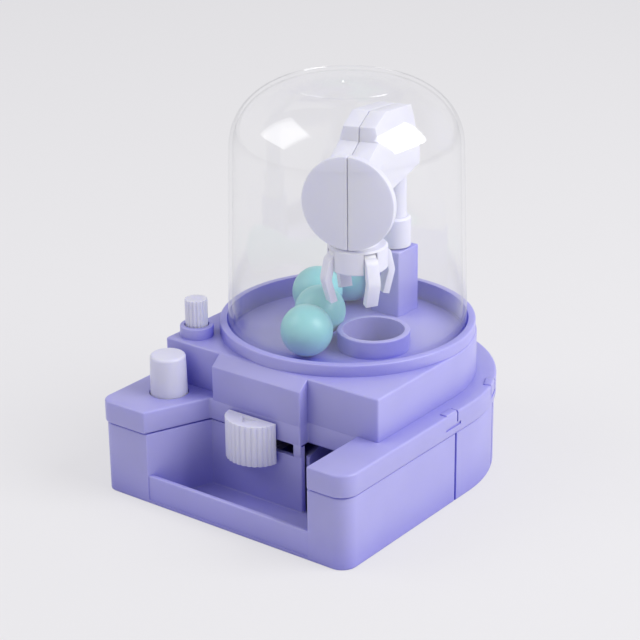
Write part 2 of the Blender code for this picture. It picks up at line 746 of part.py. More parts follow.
def make_swing_drive():
    toward = math.atan2(COLUMN[1] - SECTOR_PIVOT[1], COLUMN[0] - SECTOR_PIVOT[0])
    module = swing_module()
    teeth = gear_outline(SECTOR_TEETH, module, toward, -3, 2)
    rim = moved([(0, 0)] + teeth, SECTOR_PIVOT)
    sector = prism("swing_sector", [rim], SECTOR_Z)
    join(sector, cylinder("hub", 4.2, SECTOR_Z, SECTOR_PIVOT))
    x, y = SECTOR_PIVOT
    lever_z = (SECTOR_Z[0] + 0.1, SECTOR_Z[1] - 0.1)
    join(sector, block("lever", (x - 2.8, x + 2.8), (y - LEVER - 2.6, y), lever_z))
    peg = (SECTOR_Z[0] + 1, PLATE_Z[1] - GAP)
    join(sector, cylinder("peg", PEG_RADIUS, peg, (x, y - LEVER), SMALL_SIDES))
    cut(sector, cylinder("bore", 1.8, (SECTOR_Z[0] - CUT, SECTOR_Z[1] + CUT), SECTOR_PIVOT, SMALL_SIDES))
    hang("sector_axis", (*SECTOR_PIVOT, SECTOR_Z[0]), [finish(sector, "grey")])

    pin = cylinder("sector_pin", 1.5, (14.9, GEAR_PLATE_Z[0] - 1.6), SECTOR_PIVOT, SMALL_SIDES)
    join(pin, cylinder("head", 3.0, (13.9, SECTOR_Z[0] - GAP), SECTOR_PIVOT, SMALL_SIDES))
    finish(pin, "steel")

    phase = meshing_phase(SECTOR_PIVOT, SECTOR_TEETH, toward, COLUMN, PINION_TEETH)
    teeth = gear_outline(PINION_TEETH, module, phase)
    top = GEAR_PLATE_Z[0] - 3.6
    pinion = prism("swing_pinion", [moved(teeth, COLUMN)], (COLUMN_BOTTOM - GAP, top))
    cut(pinion, prism("hex", [hexagon(HEX_RADIUS + 0.45)], (COLUMN_BOTTOM - CUT, top + CUT), CRANE))
    hang("swing_axis", (*COLUMN, COLUMN_BOTTOM), [finish(pinion, "grey")])


# ---------------------------------------------------------------- lift drive


def idler_places():
    """Centres of the two idlers, which carry the knob's turn round to the column."""
    angle = math.radians(IDLER_ANGLE)
    reach = (KNOB_TEETH + IDLER_TEETH) * GEAR_MODULE / 2
    first = (KNOB[0] + reach * math.cos(angle), KNOB[1] + reach * math.sin(angle))
    between = IDLER_TEETH * GEAR_MODULE
    last = (IDLER_TEETH + NUT_TEETH) * GEAR_MODULE / 2
    span = math.dist(first, COLUMN)
    along = (span**2 + between**2 - last**2) / (2 * span)
    aside = math.sqrt(between**2 - along**2)
    ux, uy = direction(first, COLUMN)
    second = (first[0] + along * ux - aside * uy, first[1] + along * uy + aside * ux)
    return first, second


def make_gear_plate():
    first, second = idler_places()
    outline = [
        (-50, -46),
        (-33, -46),
        (-24, -24),
        (-12, -5),
        (0.6, 0),
        (0.6, 10),
        (14, 25),
        (18.5, 36),
        (17, 43),
        (8, 47),
        (-14, 44.5),
        (-46, 18),
        (-52.5, 0),
        (-52.5, -30),
    ]
    plate = prism("gear_plate", [outline], GEAR_PLATE_Z)
    boss = (SECTOR_Z[1] + GAP, GEAR_PLATE_Z[0] + 1)
    join(plate, cylinder("sector_boss", 4.0, boss, SECTOR_PIVOT, SMALL_SIDES))
    stud = (GEAR_PLATE_Z[0] + 1, GEAR_PLATE_Z[1] + GEAR_THICK + 2)
    for place in (first, second):
        join(plate, cylinder("stud", SHAFT_RADIUS, stud, place, SMALL_SIDES))
    cut(plate, cylinder("column_hole", CARRIER_RADIUS + RUN, (GEAR_PLATE_Z[0] - 1, 31), COLUMN))
    cut(plate, cylinder("knob_foot", SHAFT_RADIUS + GAP, (GEAR_PLATE_Z[0] - 1, 31), KNOB, SMALL_SIDES))
    pin_top = GEAR_PLATE_Z[0] - 1.3
    cut(plate, cylinder("pin_bore", 1.8, (SECTOR_Z[1] - 1, pin_top), SECTOR_PIVOT, SMALL_SIDES))
    return finish(plate, "grey")


def make_gear(name, place, teeth, phase, bore):
    bottom = GEAR_PLATE_Z[1] + GAP
    outline = moved(gear_outline(teeth, GEAR_MODULE, phase), place)
    hole = moved(arc((0, 0), bore, 0, 340, 17), place)
    gear = prism(name, [outline, hole], (bottom, bottom + GEAR_THICK))
    return finish(gear, "grey")


def make_lift_drive():
    first, second = idler_places()
    stations = [
        ("lift_pinion", KNOB, KNOB_TEETH, SHAFT_RADIUS + GAP),
        ("idler_gear_1", first, IDLER_TEETH, SHAFT_RADIUS + GAP),
        ("idler_gear_2", second, IDLER_TEETH, SHAFT_RADIUS + GAP),
        ("lift_nut", COLUMN, NUT_TEETH, CARRIER_RADIUS + RUN),
    ]
    gears = {}
    phase = 0.0
    for i, (name, place, teeth, bore) in enumerate(stations):
        if i:
            _, before, count, _ = stations[i - 1]
            phase = meshing_phase(before, count, phase, place, teeth)
        gears[name] = make_gear(name, place, teeth, phase, bore)

    ribs = []
    count = 18
    for i in range(count):
        low = KNOB_RADIUS - 0.5
        for r, side in ((low, -0.3), (KNOB_RADIUS, -0.15), (KNOB_RADIUS, 0.15), (low, 0.3)):
            angle = (i + side) * 2 * math.pi / count
            ribs.append((KNOB[0] + r * math.cos(angle), KNOB[1] + r * math.sin(angle)))
    knob = prism("lift_knob", [ribs], (HOUSING_TOP - WALL - 2, KNOB_TOP))
    foot = GEAR_PLATE_Z[0] + GAP
    join(knob, cylinder("shaft", SHAFT_RADIUS, (foot, HOUSING_TOP), KNOB, SMALL_SIDES))
    finish(knob, "white")
    height = GEAR_PLATE_Z[1]
    hang("knob_axis", (*KNOB, height), [knob, gears["lift_pinion"]])
    hang("idler_1_axis", (*first, height), [gears["idler_gear_1"]])
    hang("idler_2_axis", (*second, height), [gears["idler_gear_2"]])
    hang("nut_axis", (*COLUMN, height), [gears["lift_nut"]])

    low = GEAR_PLATE_Z[0] - 3.3
    high = GEAR_PLATE_Z[1] + GEAR_THICK + 5.7
    bore = COLUMN_RADIUS + RUN
    ring = [(bore, high), (CARRIER_RADIUS, high), (CARRIER_RADIUS, low), (bore, low)]
    carrier = finish(turned("lift_carrier", ring, COLUMN), "grey")
    hang("lift_axis", (*COLUMN, low), [carrier])
    return high


# ---------------------------------------------------------------- claw button and its beam


def beam_length():
    return math.dist(BUTTON, COLUMN)


def beam_frame():
    """Frame at the middle of the beam, with X from the button to the column."""
    ux, uy = direction(BUTTON, COLUMN)
    middle = ((BUTTON[0] + COLUMN[0]) / 2, (BUTTON[1] + COLUMN[1]) / 2)
    turn = Matrix.Rotation(math.atan2(uy, ux), 4, "Z")
    return Matrix.Translation((middle[0] * MM, middle[1] * MM, 0)) @ turn


def make_button_drive():
    flange_top = COVER_TOP - WALL - GAP
    stem_bottom = BEAM_Z[1] + GAP
    profile = [
        (0, BUTTON_TOP),
        (BUTTON_RADIUS - BUTTON_TAPER - 0.8, BUTTON_TOP),
        (BUTTON_RADIUS - BUTTON_TAPER, BUTTON_TOP - 0.8),
        (BUTTON_RADIUS, COVER_TOP),
        (BUTTON_RADIUS, flange_top),
        (BUTTON_FLANGE, flange_top),
        (BUTTON_FLANGE, flange_top - 2),
        (STEM_RADIUS, flange_top - 2),
        (STEM_RADIUS, stem_bottom),
        (0, stem_bottom),
    ]
    button = finish(turned("claw_button", profile, BUTTON), "white")

    start = SHELF_Z[1] + GAP + 0.5
    end = flange_top - 2 - GAP - 0.5
    turns, steps, coil = 5, 8, 4.6
    curve = bpy.data.curves.new("button_spring", "CURVE")
    curve.dimensions = "3D"
    curve.bevel_depth = 0.5
    curve.bevel_resolution = 2
    curve.use_fill_caps = True
    spline = curve.splines.new("POLY")
    spline.points.add(turns * steps)
    for i, point in enumerate(spline.points):
        angle = 2 * math.pi * i / steps
        height = start + (end - start) * i / (turns * steps)
        point.co = (BUTTON[0] + coil * math.cos(angle), BUTTON[1] + coil * math.sin(angle), height, 1)
    wire = bpy.data.objects.new("wire", curve)
    PARTS.objects.link(wire)
    finish(add_mesh("button_spring", mesh_of(wire)), "steel")
    hang("button_axis", (*BUTTON, stem_bottom), [button])

    frame = beam_frame()
    half = beam_length() / 2 + 2.4
    width = BEAM_WIDTH / 2
    beam = block("button_beam", (-half, half), (-width, width), BEAM_Z, frame)
    middle = sum(BEAM_Z) / 2
    join(beam, cross_pin("hub", 2.4, 0, middle, (-width + 0.1, width - 0.1), at=frame))
    cut(beam, cross_pin("bore", 1.0 + GAP, 0, middle, (-width - CUT, width + CUT), at=frame))
    finish(beam, "grey")
    finish(cross_pin("beam_pin", 1.0, 0, middle, (-7, 7), at=frame), "steel")
    centre = frame.translation / MM
    hang("beam_axis", (centre.x, centre.y, middle), [beam])


# ---------------------------------------------------------------- crane


def arm_sections(inset, side):
    """Half sections of the arm from tail to nose; side is -1 or 1, inset moves every wall in.

    Each station is its distance along the arm, bottom, eave and top heights, and the
    half widths at the eave and at the top.
    """
    stations = [
        (-6.5 + inset, 113.0, 116.5, 126.0, 6.6, 5.0),
        (-3.0, ARM_BOTTOM, 116.8, 131.0, ARM_HALF, 6.2),
        (0.0, ARM_BOTTOM, 117.2, 134.8, ARM_HALF, 6.4),
        (30.0, ARM_BOTTOM, 122.3, 140.0, ARM_HALF, 6.4),
        (41.7 - inset, ARM_BOTTOM, 124.2, 137.0, ARM_HALF, 6.2),
        (42.0 - inset, ARM_BOTTOM, 124.0, 131.6, 9.0, 7.6),
        (DISC_AT + 1 - inset * 1.5, ARM_BOTTOM, 123.0, 128.0, 9.0, 7.4),
    ]
    seam = side * GAP / 2 if not inset else -side * 1.0
    sections = []
    for along, bottom, eave, top, low_half, top_half in stations:
        sections.append(
            [
                (along, seam, bottom + inset),
                (along, side * (low_half - inset), bottom + inset),
                (along, side * (low_half - inset), eave),
                (along, side * (top_half - inset), top - inset),
                (along, seam, top - inset),
            ]
        )
    return sections


def arm_half(name, side):
    """One of the arm's two shells; the nose carries half of the round plate."""
    half = loft(name, arm_sections(0, side), CRANE)
    points = arc((0, DISC_Z), DISC_RADIUS, -90, 90, 20)
    plate = [(side * max(x, GAP / 2), z) for x, z in points]
    sideways = CRANE @ Matrix.Rotation(math.pi / 2, 4, "Z")
    join(half, side_prism("round_plate", plate, (-DISC_AT - DISC_THICK, -DISC_AT), sideways))
    cut(half, loft("hollow", arm_sections(ARM_WALL, side), CRANE))
    wall = (ARM_HALF - ARM_WALL / 2) * side
    for x, z in ARM_SCREWS:
        tall = (ARM_HALF - ARM_WALL - 1.3) * side
        seat = sorted((side * GAP / 2, tall if z > 125 else wall))
        join(half, cross_pin("screw_boss", 2.6, x, z, seat, at=CRANE))
    seat = sorted((2.4 * side, wall))
    middle = sum(LEVER_Z) / 2
    join(half, cross_pin("lever_boss", 3.0, LEVER_PIVOT, middle, seat, at=CRANE))
    for x, z in ARM_SCREWS:
        reach = sorted((-side, side * 12.0)) if side < 0 else (-1.0, 5.6)
        cut(half, cross_pin("screw_bore", 1.3, x, z, reach, at=CRANE))
        if side < 0:
            cut(half, cross_pin("head_bore", 2.3, x, z, (-12, -4.6 if z > 125 else -6.6), at=CRANE))
    reach = sorted((side, side * 6.8))
    cut(half, cross_pin("lever_bore", 1.2 + GAP, LEVER_PIVOT, middle, reach, at=CRANE))
    cut(half, cylinder("column_bore", COLUMN_RADIUS + GAP, (ARM_BOTTOM - CUT, COLUMN_TOP), at=CRANE))
    cut(half, cylinder("neck_bore", NECK_RADIUS + GAP, (ARM_BOTTOM - CUT, NECK_TOP + 1), at=CLAW))
    return finish(half, "white")


def make_crane():
    flange_low = GEAR_PLATE_Z[1] + GEAR_THICK + 6.0
    rest = POST_TOP + 0.6
    profile = [
        (COLUMN_RADIUS, COLUMN_TOP),
        (COLUMN_RADIUS, COLLAR_TOP),
        (COLLAR_RADIUS, COLLAR_TOP - 0.6),
        (COLLAR_RADIUS, rest),
        (COLUMN_RADIUS, rest),
        (COLUMN_RADIUS, flange_low + FLANGE_THICK),
        (FLANGE_RADIUS, flange_low + FLANGE_THICK),
        (FLANGE_RADIUS, flange_low),
        (COLUMN_RADIUS, flange_low),
        (COLUMN_RADIUS, 27.0),
        (COLUMN_BORE, 27.0),
        (COLUMN_BORE, COLUMN_TOP),
    ]
    column = turned("crane_column", profile, steps=24, at=CRANE)
    bore = arc((0, 0), COLUMN_BORE, 0, 337.5, 15)
    join(column, prism("hex", [hexagon(HEX_RADIUS), bore], (COLUMN_BOTTOM, 28.0), CRANE))
    finish(column, "white")
    pieces = [column, arm_half("arm_left", -1), arm_half("arm_right", 1)]

    for number, (x, z) in enumerate(ARM_SCREWS, 1):
        head = -4.9 if z > 125 else -6.9
        screw = cross_pin(f"arm_screw_{number}", 1.0, x, z, (head - 0.5, 5.2), at=CRANE)
        join(screw, cross_pin("head", 2.0, x, z, (head - 1.4, head), at=CRANE))
        pieces.append(finish(screw, "steel"))
    middle = sum(LEVER_Z) / 2
    pin = cross_pin("lever_pin", 1.2, LEVER_PIVOT, middle, (-6.5, 6.5), at=CRANE)
    pieces.append(finish(pin, "steel"))
    pieces += make_holder()
    hang("crane_axis", (*COLUMN, COLUMN_BOTTOM), pieces)

    half = 2.0
    lever = block("claw_lever", (-2.5, CLAW_AT + 2.2), (-half, half), LEVER_Z, CRANE)
    join(lever, cross_pin("hub", 2.6, LEVER_PIVOT, middle, (-half + 0.1, half - 0.1), at=CRANE))
    cut(lever, cross_pin("bore", 1.2 + GAP, LEVER_PIVOT, middle, (-half - 1, half + 1), at=CRANE))
    finish(lever, "grey")
    place = CRANE @ Matrix.Translation((LEVER_PIVOT * MM, 0, 0))
    centre = place.translation / MM
    hang("lever_axis", (centre.x, centre.y, middle), [lever])

    rod = (BEAM_Z[1] + GAP, LEVER_Z[0] - GAP)
    push_rod = finish(cylinder("push_rod", ROD_RADIUS, rod, COLUMN, SMALL_SIDES), "steel")
    hang("rod_axis", (*COLUMN, rod[0]), [push_rod])

    toe_top = FINGER_PIVOT[1] + FINGER_THICK / 2
    profile = [
        (0, LEVER_Z[0] - GAP),
        (PLUNGER_RADIUS, LEVER_Z[0] - GAP),
        (PLUNGER_RADIUS, toe_top + 2.3),
        (NECK_BORE - RUN, toe_top + 2.3),
        (NECK_BORE - RUN, toe_top + GAP),
        (0, toe_top + GAP),
    ]
    plunger = finish(turned("claw_plunger", profile, steps=20, at=CLAW), "grey")
    centre = CLAW.translation / MM
    hang("plunger_axis", (centre.x, centre.y, toe_top), [plunger])


def finger_frame(number):
    """Frame on the claw's axis with X out along finger 1, 2, 3 or 4."""
    return CLAW @ Matrix.Rotation(math.radians(45 + 90 * (number - 1)), 4, "Z")


def make_holder():
    """The claw's hub with its four slots, and the four finger pins."""
    profile = [
        (NECK_RADIUS, NECK_TOP),
        (NECK_RADIUS, HOLDER_TOP),
        (HOLDER_RADIUS, HOLDER_TOP),
        (HOLDER_RADIUS, HOLDER_BOTTOM),
        (NECK_BORE, HOLDER_BOTTOM),
        (NECK_BORE, NECK_TOP),
    ]
    holder = turned("claw_holder", profile, steps=SIDES, at=CLAW)
    pieces = [holder]
    width = FINGER_WIDTH / 2 + GAP + 0.1
    x, z = FINGER_PIVOT
    for number in range(1, 5):
        at = finger_frame(number)
        top = HOLDER_TOP - HOLDER_WEB
        reach = (3.0, HOLDER_RADIUS + CUT)
        cut(holder, block("slot", reach, (-width, width), (HOLDER_BOTTOM - CUT, top), at))
        cut(holder, cross_pin("pin_bore", PIN_RADIUS + GAP, x, z, (-4.2, 4.2), 12, at))
        pin = cross_pin(f"finger_pin_{number}", PIN_RADIUS, x, z, (-3.9, 3.9), 12, at)
        pieces.append(finish(pin, "steel"))
    finish(holder, "white")
    return pieces


def make_fingers():
    x, z = FINGER_PIVOT
    route = [(FINGER_TOE, z), (x, z), FINGER_ROOT, FINGER_ELBOW, FINGER_TIP]
    half = FINGER_WIDTH / 2
    for number in range(1, 5):
        at = finger_frame(number)
        finger = side_prism(f"claw_finger_{number}", strip(route, FINGER_THICK), (-half, half), at)
        join(finger, cross_pin("eye", 1.9, x, z, (-half + 0.1, half - 0.1), 12, at))
        cut(finger, cross_pin("bore", PIN_RADIUS + GAP, x, z, (-half - 1, half + 1), 12, at))
        finish(finger, "white")
        pivot = (at @ Matrix.Translation((x * MM, 0, z * MM))).translation / MM
        hang(f"finger_axis_{number}", pivot, [finger])


def main():
    make_lower_shell()
    make_top_shell()
    make_play_deck()
    hang("dome_axis", (0, 0, LEDGE_TOP), [make_dome()])
    make_prize_ramp()
    make_case_screws()
    make_balls()
    make_slider()
    make_swing_drive()
    make_gear_plate()
    make_lift_drive()
    make_button_drive()
    make_crane()
    make_fingers()


main()
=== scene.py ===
"""Looks of the claw crane machine: a lilac case, a clear dome, a white crane and aqua prize balls.

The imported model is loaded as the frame. Classes below build the visible shells around it, each with
its sizes as fields in millimetres, and dress every piece in a node-based finish.
"""

from __future__ import annotations

import json
import logging
import math
from dataclasses import dataclass, field
from enum import Enum
from typing import Any, Sequence

import bmesh
import bpy
from mathutils import Matrix, Vector

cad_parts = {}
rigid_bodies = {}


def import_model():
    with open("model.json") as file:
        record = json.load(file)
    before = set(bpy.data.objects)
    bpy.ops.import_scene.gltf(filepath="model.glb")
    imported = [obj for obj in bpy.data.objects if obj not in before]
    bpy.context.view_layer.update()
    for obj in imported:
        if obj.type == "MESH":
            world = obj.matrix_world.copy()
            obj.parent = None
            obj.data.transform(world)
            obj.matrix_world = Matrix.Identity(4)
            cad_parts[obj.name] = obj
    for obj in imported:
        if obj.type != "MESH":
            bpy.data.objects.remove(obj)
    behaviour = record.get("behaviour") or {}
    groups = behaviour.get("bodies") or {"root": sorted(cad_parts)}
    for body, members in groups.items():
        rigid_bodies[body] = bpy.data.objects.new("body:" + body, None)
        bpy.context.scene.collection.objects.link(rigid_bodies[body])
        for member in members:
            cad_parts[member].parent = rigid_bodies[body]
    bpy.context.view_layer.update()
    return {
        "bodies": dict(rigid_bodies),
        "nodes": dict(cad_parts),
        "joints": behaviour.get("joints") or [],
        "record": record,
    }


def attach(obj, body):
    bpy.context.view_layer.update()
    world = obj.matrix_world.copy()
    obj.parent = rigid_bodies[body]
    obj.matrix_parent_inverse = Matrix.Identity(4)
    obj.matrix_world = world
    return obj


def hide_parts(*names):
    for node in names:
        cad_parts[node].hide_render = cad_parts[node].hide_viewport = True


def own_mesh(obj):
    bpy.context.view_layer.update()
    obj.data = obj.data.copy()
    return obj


LOG = logging.getLogger("claw_crane")
MM = 0.001
HERE = Matrix.Identity(4)
# Stands an outline up, so that it is read as (x, z) and its depth runs along y.
UPRIGHT = Matrix(((1, 0, 0, 0), (0, 0, 1, 0), (0, 1, 0, 0), (0, 0, 0, 1)))
MERGE = 1e-4  # millimetres within which a turned piece's points are one
PAST = 3.0  # how far a cutter runs beyond the wall it cuts
Point = tuple[float, float]
Triple = tuple[float, float, float]
Value = Any


# ---------------------------------------------------------------- shader graph


class Wire:
    """A node socket that does arithmetic: operators add Math nodes behind the scenes."""

    def __init__(self, graph: "Graph", socket: bpy.types.NodeSocket) -> None:
        """Wraps one output socket of a graph."""
        self.graph = graph
        self.socket = socket

    def _math(self, operation: str, first: Value, second: Value) -> "Wire":
        """Adds a Math node.

        Args:
            operation: what the node does.
            first: the value or Wire on the left.
            second: the value or Wire on the right.

        Returns:
            The node's output.
        """
        node = self.graph.node("ShaderNodeMath", {"operation": operation}, {0: first, 1: second})
        return node["Value"]

    def or_more(self, other: Value) -> "Wire":
        """The larger of two values."""
        return self._math("MAXIMUM", self, other)

    def __add__(self, other: Value) -> "Wire":
        """Sum."""
        return self._math("ADD", self, other)

    __radd__ = __add__

    def __sub__(self, other: Value) -> "Wire":
        """Difference."""
        return self._math("SUBTRACT", self, other)

    def __rsub__(self, other: Value) -> "Wire":
        """Difference, with this wire on the right."""
        return self._math("SUBTRACT", other, self)

    def __mul__(self, other: Value) -> "Wire":
        """Product."""
        return self._math("MULTIPLY", self, other)

    __rmul__ = __mul__

    def __pow__(self, other: Value) -> "Wire":
        """Power."""
        return self._math("POWER", self, other)


class Outputs:
    """Access to a node's outputs by name or index."""

    def __init__(self, graph: "Graph", node: bpy.types.Node) -> None:
        """Keeps the node and its graph."""
        self.graph = graph
        self.node = node

    def __getitem__(self, key: str | int) -> Wire:
        """One output as a Wire."""
        return Wire(self.graph, self.node.outputs[key])


class Ends(Enum):
    """The nodes that a new tree starts with: its first shader and its output."""

    MATERIAL = ("Principled BSDF", "Material Output")
    WORLD = ("Background", "World Output")


class Graph:
    """The node tree of one material, or of the world."""

    def __init__(
        self, owner: bpy.types.Material | bpy.types.World, ends: Ends = Ends.MATERIAL
    ) -> None:
        """Opens a tree that holds only its first shader and its output.

        Args:
            owner: the new material or world.
            ends: which nodes the tree starts with.
        """
        owner.use_nodes = True
        self.owner = owner
        self.tree = owner.node_tree
        shader, output = ends.value
        self.shader = self.tree.nodes[shader]
        self.output = self.tree.nodes[output]

    def node(
        self, kind: str, settings: dict[str, Value], inputs: dict[str | int, Value]
    ) -> Outputs:
        """Adds one node.

        Args:
            kind: the node's type name.
            settings: attributes, set first; "stops" fills a colour ramp.
            inputs: values or Wires for its sockets.

        Returns:
            The node's outputs.
        """
        node = self.tree.nodes.new(kind)
        for key, value in settings.items():
            if key == "stops":
                self._fill_ramp(node, value)
            else:
                setattr(node, key, value)
        for key, value in inputs.items():
            self.feed(node.inputs[key], value)
        return Outputs(self, node)

    @staticmethod
    def _fill_ramp(node: bpy.types.Node, stops: Sequence[tuple[float, Sequence[float]]]) -> None:
        """Sets a colour ramp's stops, given as positions and colours.

        Args:
            node: the ramp's node.
            stops: positions and colours, in order.
        """
        ramp = node.color_ramp
        for element, (position, colour) in zip(ramp.elements, (stops[0], stops[-1])):
            element.position = position
            element.color = (*colour, 1.0)
        for position, colour in stops[1:-1]:
            ramp.elements.new(position).color = (*colour, 1.0)

    def feed(self, socket: bpy.types.NodeSocket, value: Value) -> None:
        """Links a Wire to a socket, or sets the socket's own value.

        Args:
            socket: the socket.
            value: a Wire, a number or a colour.
        """
        if isinstance(value, Wire):
            self.tree.links.new(value.socket, socket)
        else:
            socket.default_value = value

    def place(self) -> Wire:
        """Where a point lies on the piece, in metres."""
        return self.node("ShaderNodeTexCoord", {}, {})["Object"]

    def noise(self, place: Wire, scale: float, detail: float, roughness: float = 0.5) -> Wire:
        """Adds a Noise Texture.

        Args:
            place: the coordinates it reads.
            scale: how many patches there are to the metre.
            detail: how many finer layers it has.
            roughness: how strong the finer layers are.

        Returns:
            Its value, around 0.5.
        """
        sockets = {"Vector": place, "Scale": scale, "Detail": detail, "Roughness": roughness}
        return self.node("ShaderNodeTexNoise", {}, sockets)["Fac"]

    def ramp(self, share: Wire, stops: Sequence[tuple[float, Sequence[float]]]) -> Wire:
        """The colour of a ramp at a share of its length."""
        return self.node("ShaderNodeValToRGB", {"stops": stops}, {"Fac": share})["Color"]

    def blend(self, share: Value, first: Value, second: Value) -> Wire:
        """Mixes two colours with a Mix node, whose colour sockets come after the others."""
        return self.node("ShaderNodeMix", {"data_type": "RGBA"}, {0: share, 6: first, 7: second})[2]

    def surface(self) -> Wire:
        """The first shader as a Wire."""
        return Wire(self, self.shader.outputs[0])

    def mix(self, share: Value, first: Wire, second: Wire) -> Wire:
        """Mixes two shaders; a share of 1 shows only the second."""
        return self.node("ShaderNodeMixShader", {}, {0: share, 1: first, 2: second})["Shader"]

    def cover(self, shader: Wire) -> None:
        """Makes a shader the surface."""
        self.feed(self.output.inputs["Surface"], shader)

    def shade(self, **inputs: Value) -> None:
        """Feeds the first shader; a keyword's underscores stand for spaces."""
        for key, value in inputs.items():
            self.feed(self.shader.inputs[key.replace("_", " ")], value)


class Tone(Enum):
    """Colours of the mouldings, as linear RGB."""

    LILAC = (0.375, 0.362, 0.70)
    PALE = (0.66, 0.655, 0.79)
    WHITE = (0.70, 0.70, 0.82)
    AQUA = (0.27, 0.64, 0.66)
    GREY = (0.55, 0.55, 0.58)


@dataclass(frozen=True)
class MouldedPlastic:
    """Injection-moulded plastic: a soft sheen, faint flow marks and a fine spark-eroded grain, and
    optionally painted shade that turns corners and recesses a darker, purer blue.
    """

    name: str
    tone: Tone
    roughness: float = 0.38
    grain: float = 0.05
    mottle: float = 0.035
    translucency: float = 0.35
    # Painted shade: how strongly corners and recesses found by ambient occlusion are painted a
    # darker, purer blue.
    painted_corner_shade: float = 0.0

    # Reach and sharpness of the painted corner shade, and the filter that gives its colour.
    painted_shade_reach: float = 0.022
    painted_shade_power: float = 1.7
    painted_shade_filter: Triple = (0.7, 0.7, 0.92)
    glow_reach: float = 0.005
    glow_radius: Triple = (0.5, 0.5, 1.0)
    gloss_index: float = 1.49

    def painted_shade_tone(self) -> Triple:
        """The painted shade colour for corners: the purer colour of light that has bounced about
        inside a corner.
        """
        (red, green, blue), painted_shade_filter = self.tone.value, self.painted_shade_filter
        return (red * red * painted_shade_filter[0], green * green * painted_shade_filter[1], blue * painted_shade_filter[2])

    def build(self) -> bpy.types.Material:
        """Makes the material.

        Returns:
            The material.
        """
        graph = Graph(bpy.data.materials.new(self.name))
        place = graph.place()
        cloud = graph.noise(place, 38.0, 3.0)
        fine = graph.noise(place, 2600.0, 2.0)
        scuff = graph.noise(place, 210.0, 6.0, 0.7)
        base = self.tone.value
        low = tuple(channel * (1 - self.mottle) for channel in base)
        high = tuple(min(channel * (1 + self.mottle), 1.0) for channel in base)
        colour = graph.ramp(cloud, [(0.3, low), (0.5, base), (0.7, high)])
        # Painted shade: the base colour is mixed towards a darker, purer blue wherever ambient
        # occlusion finds a corner or recess.
        if self.painted_corner_shade:
            reach = {"Distance": self.painted_shade_reach}
            open_air = graph.node("ShaderNodeAmbientOcclusion", {"samples": 6}, reach)["AO"]
            painted_shade_share = (1 - open_air) ** self.painted_shade_power
            colour = graph.blend(painted_shade_share * self.painted_corner_shade, colour, (*self.painted_shade_tone(), 1.0))
        rough = self.roughness + 0.10 * (scuff - 0.5) + 0.06 * (cloud - 0.5)
        height = fine * 0.6 + scuff * 0.4
        relief = {"Strength": self.grain, "Distance": 0.0002, "Height": height}
        bump = graph.node("ShaderNodeBump", {}, relief)["Normal"]
        graph.shade(Base_Color=colour, Roughness=rough, Normal=bump, IOR=self.gloss_index)
        graph.shade(Subsurface_Weight=self.translucency, Subsurface_Scale=self.glow_reach)
        graph.shade(Subsurface_Radius=self.glow_radius)
        return graph.owner


@dataclass(frozen=True)
class ClearPlastic:
    """Thin clear moulding: nearly invisible face on, with glossy highlights and a grey edge."""

    name: str
    tint: Triple = (0.55, 0.55, 0.61)
    face_alpha: float = 0.022
    edge_alpha: float = 0.36
    edge_power: float = 11.0
    face_gloss: float = 0.05
    edge_gloss: float = 0.6
    gloss_power: float = 5.0
    gloss_roughness: float = 0.07
    gloss_index: float = 1.5

    def build(self) -> bpy.types.Material:
        """Makes the material: a see-through surface mixed with a glossy coat by viewing angle.

        Returns:
            The material.
        """
        graph = Graph(bpy.data.materials.new(self.name))
        haze = graph.noise(graph.place(), 60.0, 3.0)
        facing = graph.node("ShaderNodeLayerWeight", {}, {"Blend": 0.5})["Facing"]
        alpha = self.face_alpha + facing**self.edge_power * self.edge_alpha
        graph.shade(Base_Color=(*self.tint, 1.0), Roughness=0.08 + 0.05 * haze, Alpha=alpha)
        graph.shade(IOR=self.gloss_index)
        coat = {"Color": (1.0, 1.0, 1.0, 1.0), "Roughness": self.gloss_roughness}
        gloss = graph.node("ShaderNodeBsdfGlossy", {}, coat)
        share = self.face_gloss + self.edge_gloss * facing**self.gloss_power
        rays = graph.node("ShaderNodeLightPath", {}, {})
        seen = (1 - rays["Is Shadow Ray"]) * (1 - rays["Is Diffuse Ray"])
        clear = graph.node("ShaderNodeBsdfTransparent", {}, {})
        coated = graph.mix(share, graph.surface(), gloss["BSDF"])
        graph.cover(graph.mix(seen, clear["BSDF"], coated))
        return graph.owner


@dataclass(frozen=True)
class PlatedSteel:
    """Zinc-plated steel of the pins and screws, lightly streaked."""

    name: str
    roughness: float = 0.32
    dark: Triple = (0.42, 0.42, 0.45)
    bright: Triple = (0.62, 0.62, 0.64)

    def build(self) -> bpy.types.Material:
        """Makes the material.

        Returns:
            The material.
        """
        graph = Graph(bpy.data.materials.new(self.name))
        streak = graph.noise(graph.place(), 900.0, 4.0)
        colour = graph.ramp(streak, [(0.3, self.dark), (0.7, self.bright)])
        rough = self.roughness + 0.15 * (streak - 0.5)
        graph.shade(Base_Color=colour, Metallic=1.0, Roughness=rough)
        return graph.owner


class Palette:
    """Builds each finish once and hands it out."""

    def __init__(self) -> None:
        """Makes every finish of the toy."""
        # The lilac mouldings carry painted shade in their corners and recesses.
        self.lilac = MouldedPlastic("lilac_moulding", Tone.LILAC, painted_corner_shade=0.95).build()
        self.pale = MouldedPlastic("pale_lilac_moulding", Tone.PALE, 0.34).build()
        self.white = MouldedPlastic("white_moulding", Tone.WHITE, 0.4).build()
        self.aqua = MouldedPlastic("aqua_ball", Tone.AQUA, 0.34, 0.03, 0.05, 0.25).build()
        self.grey = MouldedPlastic("natural_gear_plastic", Tone.GREY, 0.5).build()
        self.steel = PlatedSteel("plated_steel").build()
        self.clear = ClearPlastic("clear_dome").build()


# ---------------------------------------------------------------- shapes


